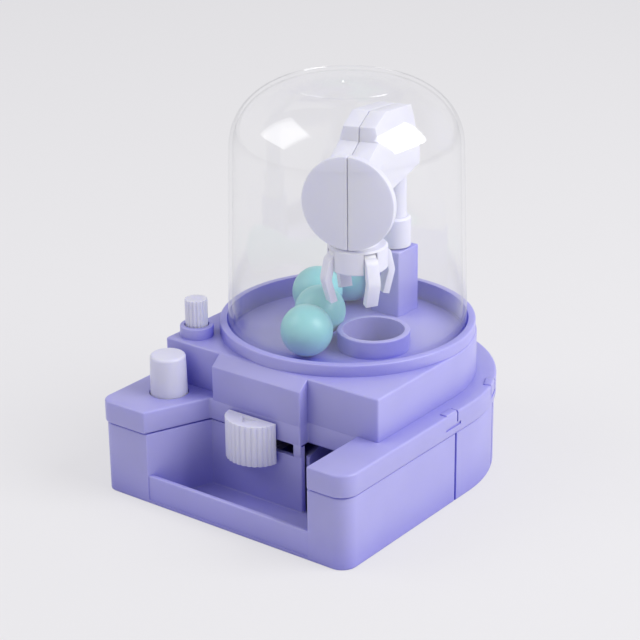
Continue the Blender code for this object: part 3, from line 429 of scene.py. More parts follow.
def arc(centre: Point, radius: float, start: float, end: float, steps: int) -> list[Point]:
    """Points on an arc.

    Args:
        centre: its centre.
        radius: its radius.
        start: the first point's angle in degrees.
        end: the last point's angle in degrees.
        steps: how many steps lie between them.

    Returns:
        The points, one more than there are steps.
    """
    points = []
    for i in range(steps + 1):
        angle = math.radians(start + (end - start) * i / steps)
        points.append((centre[0] + radius * math.cos(angle), centre[1] + radius * math.sin(angle)))
    return points


class Work(Enum):
    """What a Boolean does with its helper."""

    JOIN = "UNION"
    CUT = "DIFFERENCE"


class Shaper:
    """Makes solids in millimetres as objects in metres, and keeps Boolean helpers out of sight."""

    EDGE_STEPS = 3

    def __init__(self) -> None:
        """Makes the hidden collection that holds the helpers."""
        self.helpers = bpy.data.collections.new("helpers")

    def from_bmesh(self, name: str, bm: bmesh.types.BMesh, at: Matrix = HERE) -> bpy.types.Object:
        """Turns a bmesh in millimetres into an object in metres.

        Args:
            name: the piece's name.
            bm: the bmesh, which is used up.
            at: the piece's place in metres, which goes into the mesh itself.

        Returns:
            The new object, at the origin.
        """
        bmesh.ops.scale(bm, vec=(MM, MM, MM), verts=bm.verts)
        bmesh.ops.transform(bm, matrix=at, verts=bm.verts)
        bmesh.ops.remove_doubles(bm, verts=bm.verts, dist=1e-6)
        bmesh.ops.recalc_face_normals(bm, faces=bm.faces)
        mesh = bpy.data.meshes.new(name)
        bm.to_mesh(mesh)
        bm.free()
        obj = bpy.data.objects.new(name, mesh)
        bpy.context.scene.collection.objects.link(obj)
        return obj

    def prism(
        self,
        name: str,
        loop: Sequence[Point],
        z: Point,
        edge: float = 0.0,
        at: Matrix = HERE,
        sharp: float = 35.0,
    ) -> bpy.types.Object:
        """An upright prism on an outline.

        Args:
            name: the piece's name.
            loop: the outline.
            z: its lower and upper heights.
            edge: how far its rims and sharp corners are rounded.
            at: its place.
            sharp: degrees above which an edge is rounded.

        Returns:
            The prism.
        """
        bm = bmesh.new()
        verts = [bm.verts.new((x, y, z[0])) for x, y in loop]
        base = bm.faces.new(verts)
        made = bmesh.ops.extrude_face_region(bm, geom=[base])
        top = [v for v in made["geom"] if isinstance(v, bmesh.types.BMVert)]
        bmesh.ops.translate(bm, vec=(0, 0, z[1] - z[0]), verts=top)
        obj = self.from_bmesh(name, bm, at)
        if edge:
            self.round_edges(obj, edge, sharp)
        return obj

    def round_edges(self, obj: bpy.types.Object, width: float, sharp: float = 35.0) -> None:
        """Rounds a piece's edges.

        Args:
            obj: the piece.
            width: how far in from the edge the rounding starts.
            sharp: degrees above which an edge is rounded.
        """
        bevel = obj.modifiers.new("round", "BEVEL")
        bevel.width = width * MM
        bevel.segments = self.EDGE_STEPS
        bevel.limit_method = "ANGLE"
        bevel.angle_limit = math.radians(sharp)

    def block(
        self, name: str, x: Point, y: Point, z: Point, edge: float = 0.0, at: Matrix = HERE
    ) -> bpy.types.Object:
        """A box with rounded edges.

        Args:
            name: the piece's name.
            x: its left and right sides.
            y: its near and far sides.
            z: its lower and upper heights.
            edge: how far its edges are rounded.
            at: its place.

        Returns:
            The box.
        """
        loop = [(x[0], y[0]), (x[1], y[0]), (x[1], y[1]), (x[0], y[1])]
        return self.prism(name, loop, z, edge, at)

    def turned(
        self,
        name: str,
        profile: Sequence[Point],
        centre: Point = (0.0, 0.0),
        steps: int = 96,
        at: Matrix = HERE,
    ) -> bpy.types.Object:
        """A profile turned about the vertical axis.

        Args:
            name: the piece's name.
            profile: (radius, z) points; it closes on itself unless both its ends lie on the axis.
            centre: where the axis stands.
            steps: how many steps make the full turn.
            at: the piece's place.

        Returns:
            The turned piece.
        """
        bm = bmesh.new()
        rings = []
        for i in range(steps):
            angle = 2 * math.pi * i / steps
            along, across = math.cos(angle), math.sin(angle)
            ring = [(r * along + centre[0], r * across + centre[1], z) for r, z in profile]
            rings.append([bm.verts.new(point) for point in ring])
        closed = not (profile[0][0] == 0 and profile[-1][0] == 0)
        count = len(profile)
        for i in range(steps):
            here, there = rings[i], rings[(i + 1) % steps]
            for j in range(count if closed else count - 1):
                k = (j + 1) % count
                bm.faces.new((here[j], here[k], there[k], there[j]))
        bmesh.ops.remove_doubles(bm, verts=bm.verts, dist=MERGE)
        bmesh.ops.dissolve_degenerate(bm, edges=bm.edges, dist=MERGE / 10)
        return self.from_bmesh(name, bm, at)

    def loft(
        self, name: str, rings: Sequence[Sequence[Triple]], at: Matrix = HERE
    ) -> bpy.types.Object:
        """A closed solid through rings.

        Args:
            name: the piece's name.
            rings: the rings in order, each with the same number of points.
            at: the piece's place.

        Returns:
            The solid.
        """
        bm = bmesh.new()
        loops = [[bm.verts.new(point) for point in ring] for ring in rings]
        for near, far in zip(loops, loops[1:]):
            for i in range(len(near)):
                j = (i + 1) % len(near)
                bm.faces.new((near[i], near[j], far[j], far[i]))
        bm.faces.new(list(reversed(loops[0])))
        bm.faces.new(loops[-1])
        return self.from_bmesh(name, bm, at)

    def cylinder(
        self,
        name: str,
        radius: float,
        z: Point,
        centre: Point = (0.0, 0.0),
        edge: float = 0.0,
        steps: int = 96,
        at: Matrix = HERE,
    ) -> bpy.types.Object:
        """A cylinder along the place's vertical axis.

        Args:
            name: the piece's name.
            radius: its radius.
            z: its lower and upper heights.
            centre: where its axis stands.
            edge: how far its rims are rounded.
            steps: how many sides it has.
            at: its place.

        Returns:
            The cylinder.
        """
        loop = arc(centre, radius, 0, 360 - 360 / steps, steps - 1)
        return self.prism(name, loop, z, edge, at)

    def boolean(
        self, obj: bpy.types.Object, others: Sequence[bpy.types.Object], operation: Work
    ) -> None:
        """Joins or cuts with helpers, which are used up.

        Args:
            obj: the piece that is changed.
            others: the helpers.
            operation: whether they are added or taken out.
        """
        for other in others:
            self.settle(other)
            bpy.context.scene.collection.objects.unlink(other)
            self.helpers.objects.link(other)
            modifier = obj.modifiers.new(other.name, "BOOLEAN")
            modifier.operation = operation.value
            modifier.object = other
        self.settle(obj)
        for other in others:
            bpy.data.objects.remove(other)

    def cut(self, obj: bpy.types.Object, *others: bpy.types.Object) -> None:
        """Takes the others out of the piece."""
        self.boolean(obj, others, Work.CUT)

    def join(self, obj: bpy.types.Object, *others: bpy.types.Object) -> None:
        """Adds the others to the piece."""
        self.boolean(obj, others, Work.JOIN)

    def settle(self, obj: bpy.types.Object) -> None:
        """Applies the object's modifiers to its mesh.

        Args:
            obj: the piece.
        """
        if not obj.modifiers:
            return
        bpy.context.view_layer.update()
        graph = bpy.context.evaluated_depsgraph_get()
        mesh = bpy.data.meshes.new_from_object(obj.evaluated_get(graph))
        obj.modifiers.clear()
        obj.data = mesh

    def smooth(self, obj: bpy.types.Object, angle: float = 32.0) -> None:
        """Applies what is left and shades smooth between sharp edges.

        Args:
            obj: the piece.
            angle: degrees above which an edge stays sharp.
        """
        self.settle(obj)
        obj.data.shade_smooth()
        obj.data.set_sharp_from_angle(angle=math.radians(angle))


def dress(
    obj: bpy.types.Object, material: bpy.types.Material, body: str, slot: str, *nodes: str
) -> bpy.types.Object:
    """Gives a piece its finish and its body.

    Args:
        obj: the piece.
        material: its finish.
        body: the body it rides on.
        slot: not used.
        nodes: the CAD nodes it stands for.

    Returns:
        The piece.
    """
    obj.data.materials.clear()
    obj.data.materials.append(material)
    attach(obj, body)
    if nodes:
        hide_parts(*nodes)
    LOG.info("%s rides on %s", obj.name, body)
    return obj


# ---------------------------------------------------------------- case


@dataclass
class CaseShells:
    """The two lilac case shells: the tray and base below, the cover with its housing above."""

    shaper: Shaper
    palette: Palette
    half_width: float = 57.0
    front: float = -78.6
    corner_right: float = 7.0
    corner_left: float = 5.0
    lower_inset: float = 0.7
    wall: float = 2.0
    lip_top: float = 11.3
    mid_top: float = 23.6
    part_line: float = 28.4
    cover_top: float = 37.2
    housing_half: float = 49.2
    housing_front: float = -48.9
    housing_top: float = 53.9
    block_x: Point = (-23.0, 18.0)
    block_front: float = -53.6
    block_top: float = 50.05
    mid_front: float = -53.0
    ring_outer: float = 48.7
    ring_inner: float = 46.0
    ring_top: float = 58.4
    ledge_radius: float = 43.0
    ledge_top: float = 48.9
    tray_right: float = 39.7
    tray_left: Point = (-35.2, -24.4)
    tray_floor: float = 1.5
    slot_x: Point = (-16.0, 14.6)
    edge: float = 0.75
    fine_edge: float = 0.5
    joint: float = 0.3
    lip_sink: float = 0.8
    groove_size: tuple[Point, Point] = ((-1.5, 3.0), (-0.7, 0.7))
    floor: float = 1.6
    latch_depth: float = 4.4
    latch_tab: tuple[Point, Point] = ((-3.4, -0.15), (-7.0, -0.5))
    latch_slit: tuple[Point, Point] = ((-3.2, 2.0), (-0.5, 0.35))
    latch_step: tuple[Point, Point] = ((-0.5, 2.0), (-7.6, 2.2))
    collar_radius: float = 6.4
    collar_top: float = 58.2
    knob_hole: float = 4.7
    button_hole: float = 7.46
    tab_width: float = 3.4
    tab_face: float = -52.6

    def left_wall(self, y: float, wall: float = 0.0) -> float:
        """X of the tray's slanting left wall, or of its far face.

        Args:
            y: where along the tray.
            wall: thickness to the far face.

        Returns:
            The x coordinate.
        """
        rise = self.tray_left[1] - self.tray_left[0]
        run = self.block_front - self.front
        near = self.tray_left[0] + rise * (y - self.front) / run
        return near - wall / math.cos(math.atan2(rise, run))

    @staticmethod
    def on_wall(x: float, y: float, angle: float) -> Matrix:
        """A frame on the outer wall, with X pointing out at an angle in degrees."""
        turn = Matrix.Rotation(math.radians(angle), 4, "Z")
        return Matrix.Translation((x * MM, y * MM, 0)) @ turn

    def rear_arc(self, inset: float) -> list[Point]:
        """The half-round rear and the rounded front left corner, counter-clockwise.

        Args:
            inset: how far the outer wall moves in.

        Returns:
            The points.
        """
        half, front = self.half_width - inset, self.front + inset
        left = max(self.corner_left - inset, 1.0)
        corner = arc((-half + left, front + left), left, 180, 270, 12)
        return arc((0, 0), half, 0, 180, 120) + corner

    def right_corner(self, inset: float) -> list[Point]:
        """The rounded front right corner.

        Args:
            inset: how far the outer wall moves in.

        Returns:
            The points.
        """
        half, front = self.half_width - inset, self.front + inset
        right = max(self.corner_right - inset, 1.0)
        return arc((half - right, front + right), right, 270, 360, 16)

    def notched(self, inset: float, wall: float, rear: Sequence[Point]) -> list[Point]:
        """The case outline without the prize tray.

        Args:
            inset: how far the outer wall moves in.
            wall: how far the tray's walls move out.
            rear: corners of the tray's rear edge, from left to right.

        Returns:
            The outline.
        """
        front = self.front + inset
        points = self.rear_arc(inset) + [(self.left_wall(front, wall), front)]
        points += [(self.left_wall(rear[0][1], wall), rear[0][1])] + list(rear[1:])
        return points + [(self.tray_right + wall, front)] + self.right_corner(inset)

    def housing_loop(self, inset: float) -> list[Point]:
        """The housing that carries the dome: round at the rear, square in front.

        Args:
            inset: how far every wall moves in.

        Returns:
            The outline.
        """
        half = self.housing_half - inset
        front = self.housing_front + inset
        return arc((0, 0), half, 0, 180, 120) + [(-half, front), (half, front)]

    def build_lower(self, grooves: Sequence[Triple]) -> bpy.types.Object:
        """The lower shell with its open prize tray.

        Args:
            grooves: places and angles of the grip grooves.

        Returns:
            The dressed shell.
        """
        make = self.shaper
        top = self.part_line - self.joint
        outline = self.rear_arc(self.lower_inset) + self.right_corner(self.lower_inset)
        shell = make.prism("case_lower", outline, (0.0, top), self.edge)
        mid_rear = self.mid_front + self.wall
        rear = [(self.tray_left[1], mid_rear), (self.tray_right + self.wall, mid_rear)]
        inside = self.notched(self.lower_inset + self.wall, self.wall, rear)
        cavity = make.prism("cavity", inside, (self.floor, top + PAST))
        start = self.front - PAST
        loop = [
            (self.left_wall(start), start),
            (self.tray_right, start),
            (self.tray_right, self.mid_front + 2 * PAST),
            (self.block_x[1], self.mid_front + 2 * PAST),
            (self.block_x[1], self.mid_front),
            (self.left_wall(self.mid_front), self.mid_front),
        ]
        tray = make.prism("tray", loop, (self.tray_floor, top + PAST), self.fine_edge)
        slot_y = (self.mid_front - PAST, mid_rear + PAST)
        slot = make.block("slot", self.slot_x, slot_y, (self.mid_top, top + PAST))
        make.cut(shell, cavity, tray, slot)
        face, sink = self.front + self.lower_inset + self.joint, self.lip_sink
        lip_x = (self.left_wall(face) - sink, self.tray_right + sink)
        lip_z = (sink, self.lip_top)
        make.join(shell, make.block("lip", lip_x, (face, face + self.wall), lip_z, self.fine_edge))
        for groove in grooves:
            place = self.on_wall(*groove)
            make.cut(shell, make.block("groove", *self.groove_size, (-PAST, top + PAST), at=place))
        make.smooth(shell)
        return dress(shell, self.palette.lilac, "case", "lilac_plastic", "lower_shell")

    def latch(self, shell: bpy.types.Object, place: Matrix) -> None:
        """Works one snap latch into the cover's rim.

        Args:
            shell: the upper shell.
            place: a frame on the wall, with X pointing out.
        """
        make, top = self.shaper, self.cover_top
        foot = top - self.latch_depth
        tab_z, slit_z, step_z = (foot, top + 0.5), (foot, top + 2), (foot - 1.5, foot - 0.2)
        make.join(shell, make.block("latch_tab", *self.latch_tab, tab_z, 0.45, place))
        make.cut(
            shell,
            make.block("latch_slit", *self.latch_slit, slit_z, at=place),
            make.block("latch_step", *self.latch_step, step_z, at=place),
        )

    def bore_upper(self, shell: bpy.types.Object, knob: Point, button: Point) -> None:
        """Adds the dome's ring to the cover, then cuts its seat and every round hole.

        Args:
            shell: the upper shell.
            knob: centre of the lift knob's hole.
            button: centre of the push button's hole.
        """
        make, ledge, past_ring = self.shaper, self.ledge_top, self.ring_top + PAST
        ring_z = (ledge - 1.5, self.ring_top)
        ring = make.cylinder("ring", self.ring_outer, ring_z, edge=self.fine_edge, steps=160)
        make.join(shell, ring)
        make.cut(
            shell,
            make.cylinder("dome_seat", self.ring_inner, (ledge, past_ring), steps=152),
            make.cylinder("deck_hole", self.ledge_radius, (ledge - PAST, past_ring), steps=144),
        )
        knob_z = (self.housing_top - PAST, self.collar_top + PAST + 0.8)
        button_z = (self.cover_top - PAST, self.cover_top + PAST)
        make.cut(
            shell,
            make.cylinder("knob_bore", self.knob_hole, knob_z, knob),
            make.cylinder("button_bore", self.button_hole, button_z, button),
        )

    def build_upper(
        self, knob: Point, button: Point, grooves: Sequence[Triple]
    ) -> bpy.types.Object:
        """The cover, the housing with the slider's block, the knob's collar and the dome's ring.

        Args:
            knob: centre of the lift knob's collar.
            button: centre of the push button's hole.
            grooves: places and angles of the grip grooves, above which the latch slits lie.

        Returns:
            The dressed shell.
        """
        make = self.shaper
        left, right = self.block_x
        rear = [
            (self.tray_left[1], self.block_front),
            (right, self.block_front),
            (right, self.housing_front),
            (self.tray_right, self.housing_front),
        ]
        low = self.cover_top - 1
        cover_z = (self.part_line, self.cover_top)
        shell = make.prism("case_upper", self.notched(0, 0, rear), cover_z, self.edge)
        housing = make.prism("housing", self.housing_loop(0), (low, self.housing_top), self.edge)
        slope = self.housing_top - 0.05
        side = [
            (-self.block_front, low),
            (-self.block_front, self.block_top),
            (-self.housing_front, slope),
            (-self.housing_front - 3, slope - 1),
            (-self.housing_front - 3, low),
        ]
        turn = Matrix.Rotation(-math.pi / 2, 4, "Z")
        block = make.prism("slider_block", side, self.block_x, 0.4, turn @ UPRIGHT)
        collar_z = (self.housing_top - 1, self.collar_top)
        collar = make.cylinder("collar", self.collar_radius, collar_z, knob, self.fine_edge)
        make.join(shell, housing, block, collar)
        cover_rear = [
            (self.tray_left[1], self.block_front + self.wall),
            (right - self.wall, self.block_front + self.wall),
            (right - self.wall, self.housing_front + self.wall),
            (self.tray_right + self.wall, self.housing_front + self.wall),
        ]
        hollow = self.notched(self.wall, self.wall, cover_rear)
        hollow_z = (self.part_line - PAST, self.cover_top - self.wall)
        under = make.prism("cover_inside", hollow, hollow_z)
        housing_z = (self.cover_top - PAST, self.housing_top - self.wall)
        inside = make.prism("housing_inside", self.housing_loop(self.wall), housing_z)
        block_inside = make.block(
            "block_inside",
            (left + self.wall, right - self.wall),
            (self.block_front + self.wall, self.housing_front + 2 * self.wall),
            (self.part_line - PAST, self.block_top - self.wall),
        )
        make.cut(shell, under, inside, block_inside)
        self.bore_upper(shell, knob, button)
        tab_x, tab_y = (right - self.tab_width, right), (self.block_front, self.tab_face)
        tab_z = (self.part_line - 4.2, self.part_line + 1)
        make.join(shell, make.block("slot_tab", tab_x, tab_y, tab_z, 0.4))
        for groove in grooves:
            self.latch(shell, self.on_wall(*groove))
        make.smooth(shell)
        return dress(shell, self.palette.lilac, "case", "lilac_plastic", "top_shell")


@dataclass
class PlayField:
    """The deck with its prize chute and the crane's square post, the dome and the balls."""

    shaper: Shaper
    palette: Palette
    deck: Point = (49.2, 51.0)
    deck_radius: float = 45.6
    chute: Point = (15.2, -4.2)
    chute_radii: Point = (13.8, 11.7)
    chute_z: Point = (34.0, 57.8)
    column: Point = (0.0, 31.0)
    post_side: float = 13.4
    post_top: float = 77.6
    post_bore: float = 5.0
    post_edge: float = 0.6
    ball_radius: float = 9.8
    ball_rest: float = 51.3
    ball_seam: Point = (0.06, 0.02)
    ball_steps: int = 64
    balls: tuple[Point, ...] = ((0.5, -26.2), (-7.4, -7.6), (-20.4, 8.0), (-19.6, 28.0))
    dome_foot: float = 51.3
    dome_wall: float = 1.4
    dome_top: float = 150.0
    shoulder: float = 124.6
    dome_radius: float = 45.45
    measured_at: float = 60.0
    taper: float = 0.029
    flat: float = 23.3
    power: float = 2.215
    core: float = 9.0
    dome_steps: int = 40
    thinning: float = 0.3
    mark: tuple[Point, ...] = ((0.0, -0.3), (0.9, -0.3), (1.1, -0.9), (1.9, -0.9), (2.3, 0.0))
    groove: tuple[Point, ...] = ((-1.1, 0.0), (-0.8, -0.35), (-0.2, -0.35))

    def build_deck(self) -> bpy.types.Object:
        """The deck with its chute and post.

        Returns:
            The dressed deck.
        """
        make = self.shaper
        bottom, top = self.deck
        deck = make.cylinder("deck", self.deck_radius, (bottom, top), steps=152)
        outer, inner = self.chute_radii
        make.join(deck, make.cylinder("chute", outer, self.chute_z, self.chute, 0.45))
        half = self.post_side / 2
        x, y = self.column
        sides = ((x - half, x + half), (y - half, y + half))
        make.join(deck, make.block("post", *sides, (bottom + 0.5, self.post_top), self.post_edge))
        low, high = self.chute_z
        make.cut(deck, make.cylinder("chute_bore", inner, (low - PAST, high + PAST), self.chute))
        bore_z = (bottom - PAST, self.post_top + PAST)
        make.cut(deck, make.cylinder("post_bore", self.post_bore, bore_z, self.column))
        make.smooth(deck)
        return dress(deck, self.palette.lilac, "case", "lilac_plastic", "play_deck")

    def outer_radius(self, z: float) -> float:
        """Outer radius of the dome at a height.

        Args:
            z: the height.

        Returns:
            The radius.
        """
        if z <= self.shoulder:
            return self.dome_radius - self.taper * (z - self.measured_at)
        top = self.dome_radius - self.taper * (self.shoulder - self.measured_at)
        span = top - self.core
        whole = (1 - ((self.flat - self.core) / span) ** self.power) ** (1 / self.power)
        share = min((z - self.shoulder) * whole / (self.dome_top - self.shoulder), 1.0)
        return self.core + span * (1 - share**self.power) ** (1 / self.power)

    def build_dome(self) -> bpy.types.Object:
        """The clear dome, with a groove round its flat top and a moulding mark in the middle.

        Returns:
            The dressed dome.
        """
        height = self.dome_top - self.shoulder
        turns = (math.pi / 2 * i / self.dome_steps for i in range(self.dome_steps + 1))
        levels = [self.dome_foot, 90.0] + [self.shoulder + height * math.sin(t) for t in turns]
        outer, inner = [], []
        for z in levels:
            share = max(z - self.shoulder, 0) / height
            radius = self.outer_radius(z)
            outer.append((radius, z))
            wall = self.dome_wall * (1 - self.thinning * share)
            inner.append((radius - wall, z - self.dome_wall * share))
        top = self.dome_top
        profile = [(radius, top + z) for radius, z in self.mark]
        profile += [(self.flat + radius, top + z) for radius, z in self.groove]
        profile += outer[::-1] + inner + [(0, top - self.dome_wall)]
        dome = self.shaper.turned("dome_shell", profile, steps=160)
        self.shaper.smooth(dome, 18)
        return dress(dome, self.palette.clear, "dome", "clear_plastic", "dome")

    def build_balls(self) -> None:
        """Four prize balls at rest on the deck, each with a faint parting line."""
        for number, (x, y) in enumerate(self.balls, 1):
            radius, (depth, width) = self.ball_radius, self.ball_seam
            profile = []
            for i in range(self.ball_steps + 1):
                angle = math.pi * (i / self.ball_steps - 0.5)
                reach = radius - depth * math.exp(-((angle / width) ** 2))
                profile.append((reach * math.cos(angle), reach * math.sin(angle)))
            profile[0], profile[-1] = (0.0, -radius), (0.0, radius)
            tilt = Matrix.Rotation(0.5 + 1.3 * number, 4, "Y")
            tilt = tilt @ Matrix.Rotation(0.9 * number, 4, "X")
            place = Matrix.Translation((x * MM, y * MM, (self.ball_rest + radius) * MM)) @ tilt
            ball = self.shaper.turned(f"prize_ball_{number}", profile, steps=96, at=place)
            self.shaper.smooth(ball, 60)
            dress(ball, self.palette.aqua, "case", "aqua_plastic", f"ball_{number}")


# ---------------------------------------------------------------- controls


@dataclass
class Controls:
    """The push button and its spring, the ribbed lift knob and the slider's D-shaped knob."""

    shaper: Shaper
    palette: Palette
    button: Point = (-40.4, -58.1)
    button_radii: Point = (7.06, 6.7)
    button_z: Point = (34.9, 52.4)
    button_round: float = 1.1
    flange_radius: float = 9.2
    flange_thick: float = 2.0
    stem_radius: float = 3.0
    stem_foot: float = 9.2
    spring_z: Point = (18.8, 32.1)
    spring_coil: Point = (4.6, 0.5)
    spring_turns: int = 5
    spring_steps: int = 24
    button_travel: float = 4.0
    knob: Point = (-41.5, -39.8)
    knob_radius: float = 4.3
    knob_z: Point = (49.9, 68.5)
    knob_ribs: int = 18
    rib_depth: float = 0.5
    rib_steps: int = 8
    slider_x: Point = (-14.15, 7.75)
    slider_y: Point = (-54.6, -63.7)
    slider_z: Point = (19.5, 35.5)
    slider_ribs: int = 15

    def build_button(self) -> bpy.types.Object:
        """The tapered push button with a rounded rim.

        Returns:
            The dressed button.
        """
        wide, narrow = self.button_radii
        low, top = self.button_z
        edge, flange, stem = self.button_round, self.flange_radius, self.stem_radius
        under = low - self.flange_thick
        profile = [(0, self.stem_foot), (stem, self.stem_foot), (stem, under), (flange, under)]
        profile += [(flange, low), (wide, low), (wide, low + 2.3)]
        profile += arc((narrow - edge, top - edge), edge, 0, 90, 10)
        profile += [(narrow - 2.6, top - 0.08), (0, top - 0.22)]
        button = self.shaper.turned("push_button", profile, self.button, steps=112)
        self.shaper.smooth(button)
        return dress(button, self.palette.pale, "claw_button", "white_plastic", "claw_button")

    def build_spring(self) -> bpy.types.Object:
        """The return spring under the button, a fixed coil on the case.

        Returns:
            The dressed spring.
        """
        low, high = self.spring_z
        coil, wire = self.spring_coil
        steps = self.spring_steps * self.spring_turns
        curve = bpy.data.curves.new("return_spring", "CURVE")
        curve.dimensions = "3D"
        curve.bevel_depth = wire * MM
        curve.bevel_resolution = 3
        curve.use_fill_caps = True
        line = curve.splines.new("POLY")
        line.points.add(steps)
        for i, point in enumerate(line.points):
            angle = 2 * math.pi * self.spring_turns * i / steps
            x = self.button[0] + coil * math.cos(angle)
            y = self.button[1] + coil * math.sin(angle)
            point.co = (x * MM, y * MM, (low + (high - low) * i / steps) * MM, 1)
        shape = bpy.data.objects.new("spring_path", curve)
        bpy.context.scene.collection.objects.link(shape)
        bpy.context.view_layer.update()
        graph = bpy.context.evaluated_depsgraph_get()
        mesh = bpy.data.meshes.new_from_object(shape.evaluated_get(graph))
        bpy.data.objects.remove(shape)
        spring = bpy.data.objects.new("return_spring", mesh)
        bpy.context.scene.collection.objects.link(spring)
        mesh.shade_smooth()
        dress(spring, self.palette.steel, "case", "steel", "button_spring")
        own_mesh(spring)
        return spring

    def build_knob(self) -> bpy.types.Object:
        """The lift knob with its grip ribs and a plain rounded cap.

        Returns:
            The dressed knob.
        """
        make = self.shaper
        loop = []
        steps = self.knob_ribs * self.rib_steps
        for i in range(steps):
            angle = 2 * math.pi * i / steps
            wave = abs(math.cos(angle * self.knob_ribs / 2)) ** 1.6
            radius = self.knob_radius - self.rib_depth * (1 - wave)
            x, y = radius * math.cos(angle), radius * math.sin(angle)
            loop.append((self.knob[0] + x, self.knob[1] + y))
        low, top = self.knob_z
        knob = make.prism("ribbed_knob", loop, (low, top), 0.45, sharp=60)
        make.smooth(knob, 40)
        return dress(knob, self.palette.pale, "lift_knob", "white_plastic", "lift_knob")

    def build_slider(self) -> bpy.types.Object:
        """The slider's knob: half round in front with grip ribs, and an arrow dimple on top.

        Returns:
            The dressed knob.
        """
        make = self.shaper
        centre = sum(self.slider_x) / 2
        half = (self.slider_x[1] - self.slider_x[0]) / 2
        back, front = self.slider_y
        depth = back - front
        loop = [(self.slider_x[1], back), (self.slider_x[0], back)]
        steps = self.slider_ribs * 10
        for i in range(1, steps):
            angle = math.pi + math.pi * i / steps
            wave = abs(math.sin(math.pi * self.slider_ribs * i / steps)) ** 0.6
            fade = min(1.0, 8.0 * min(i, steps - i) / steps)
            dip = self.rib_depth * (1 - wave) * fade
            x, y = (half - dip) * math.cos(angle), (depth - dip) * math.sin(angle)
            loop.append((centre + x, back + y))
        low, high = self.slider_z
        knob = make.prism("slider_grip", loop, (low, high), 0.35, sharp=60)
        dimple = []
        for z, wide, rear, tip in ((high - 1, 3.0, -56.6, -60.0), (high + 1, 4.0, -56.0, -61.5)):
            dimple.append([(centre - wide, rear, z), (centre + wide, rear, z), (centre, tip, z)])
        arrow = make.loft("dimple", dimple)
        make.cut(knob, arrow)
        make.smooth(knob, 40)
        return dress(knob, self.palette.pale, "slider", "white_plastic", "slider_knob")


# ---------------------------------------------------------------- crane and claw


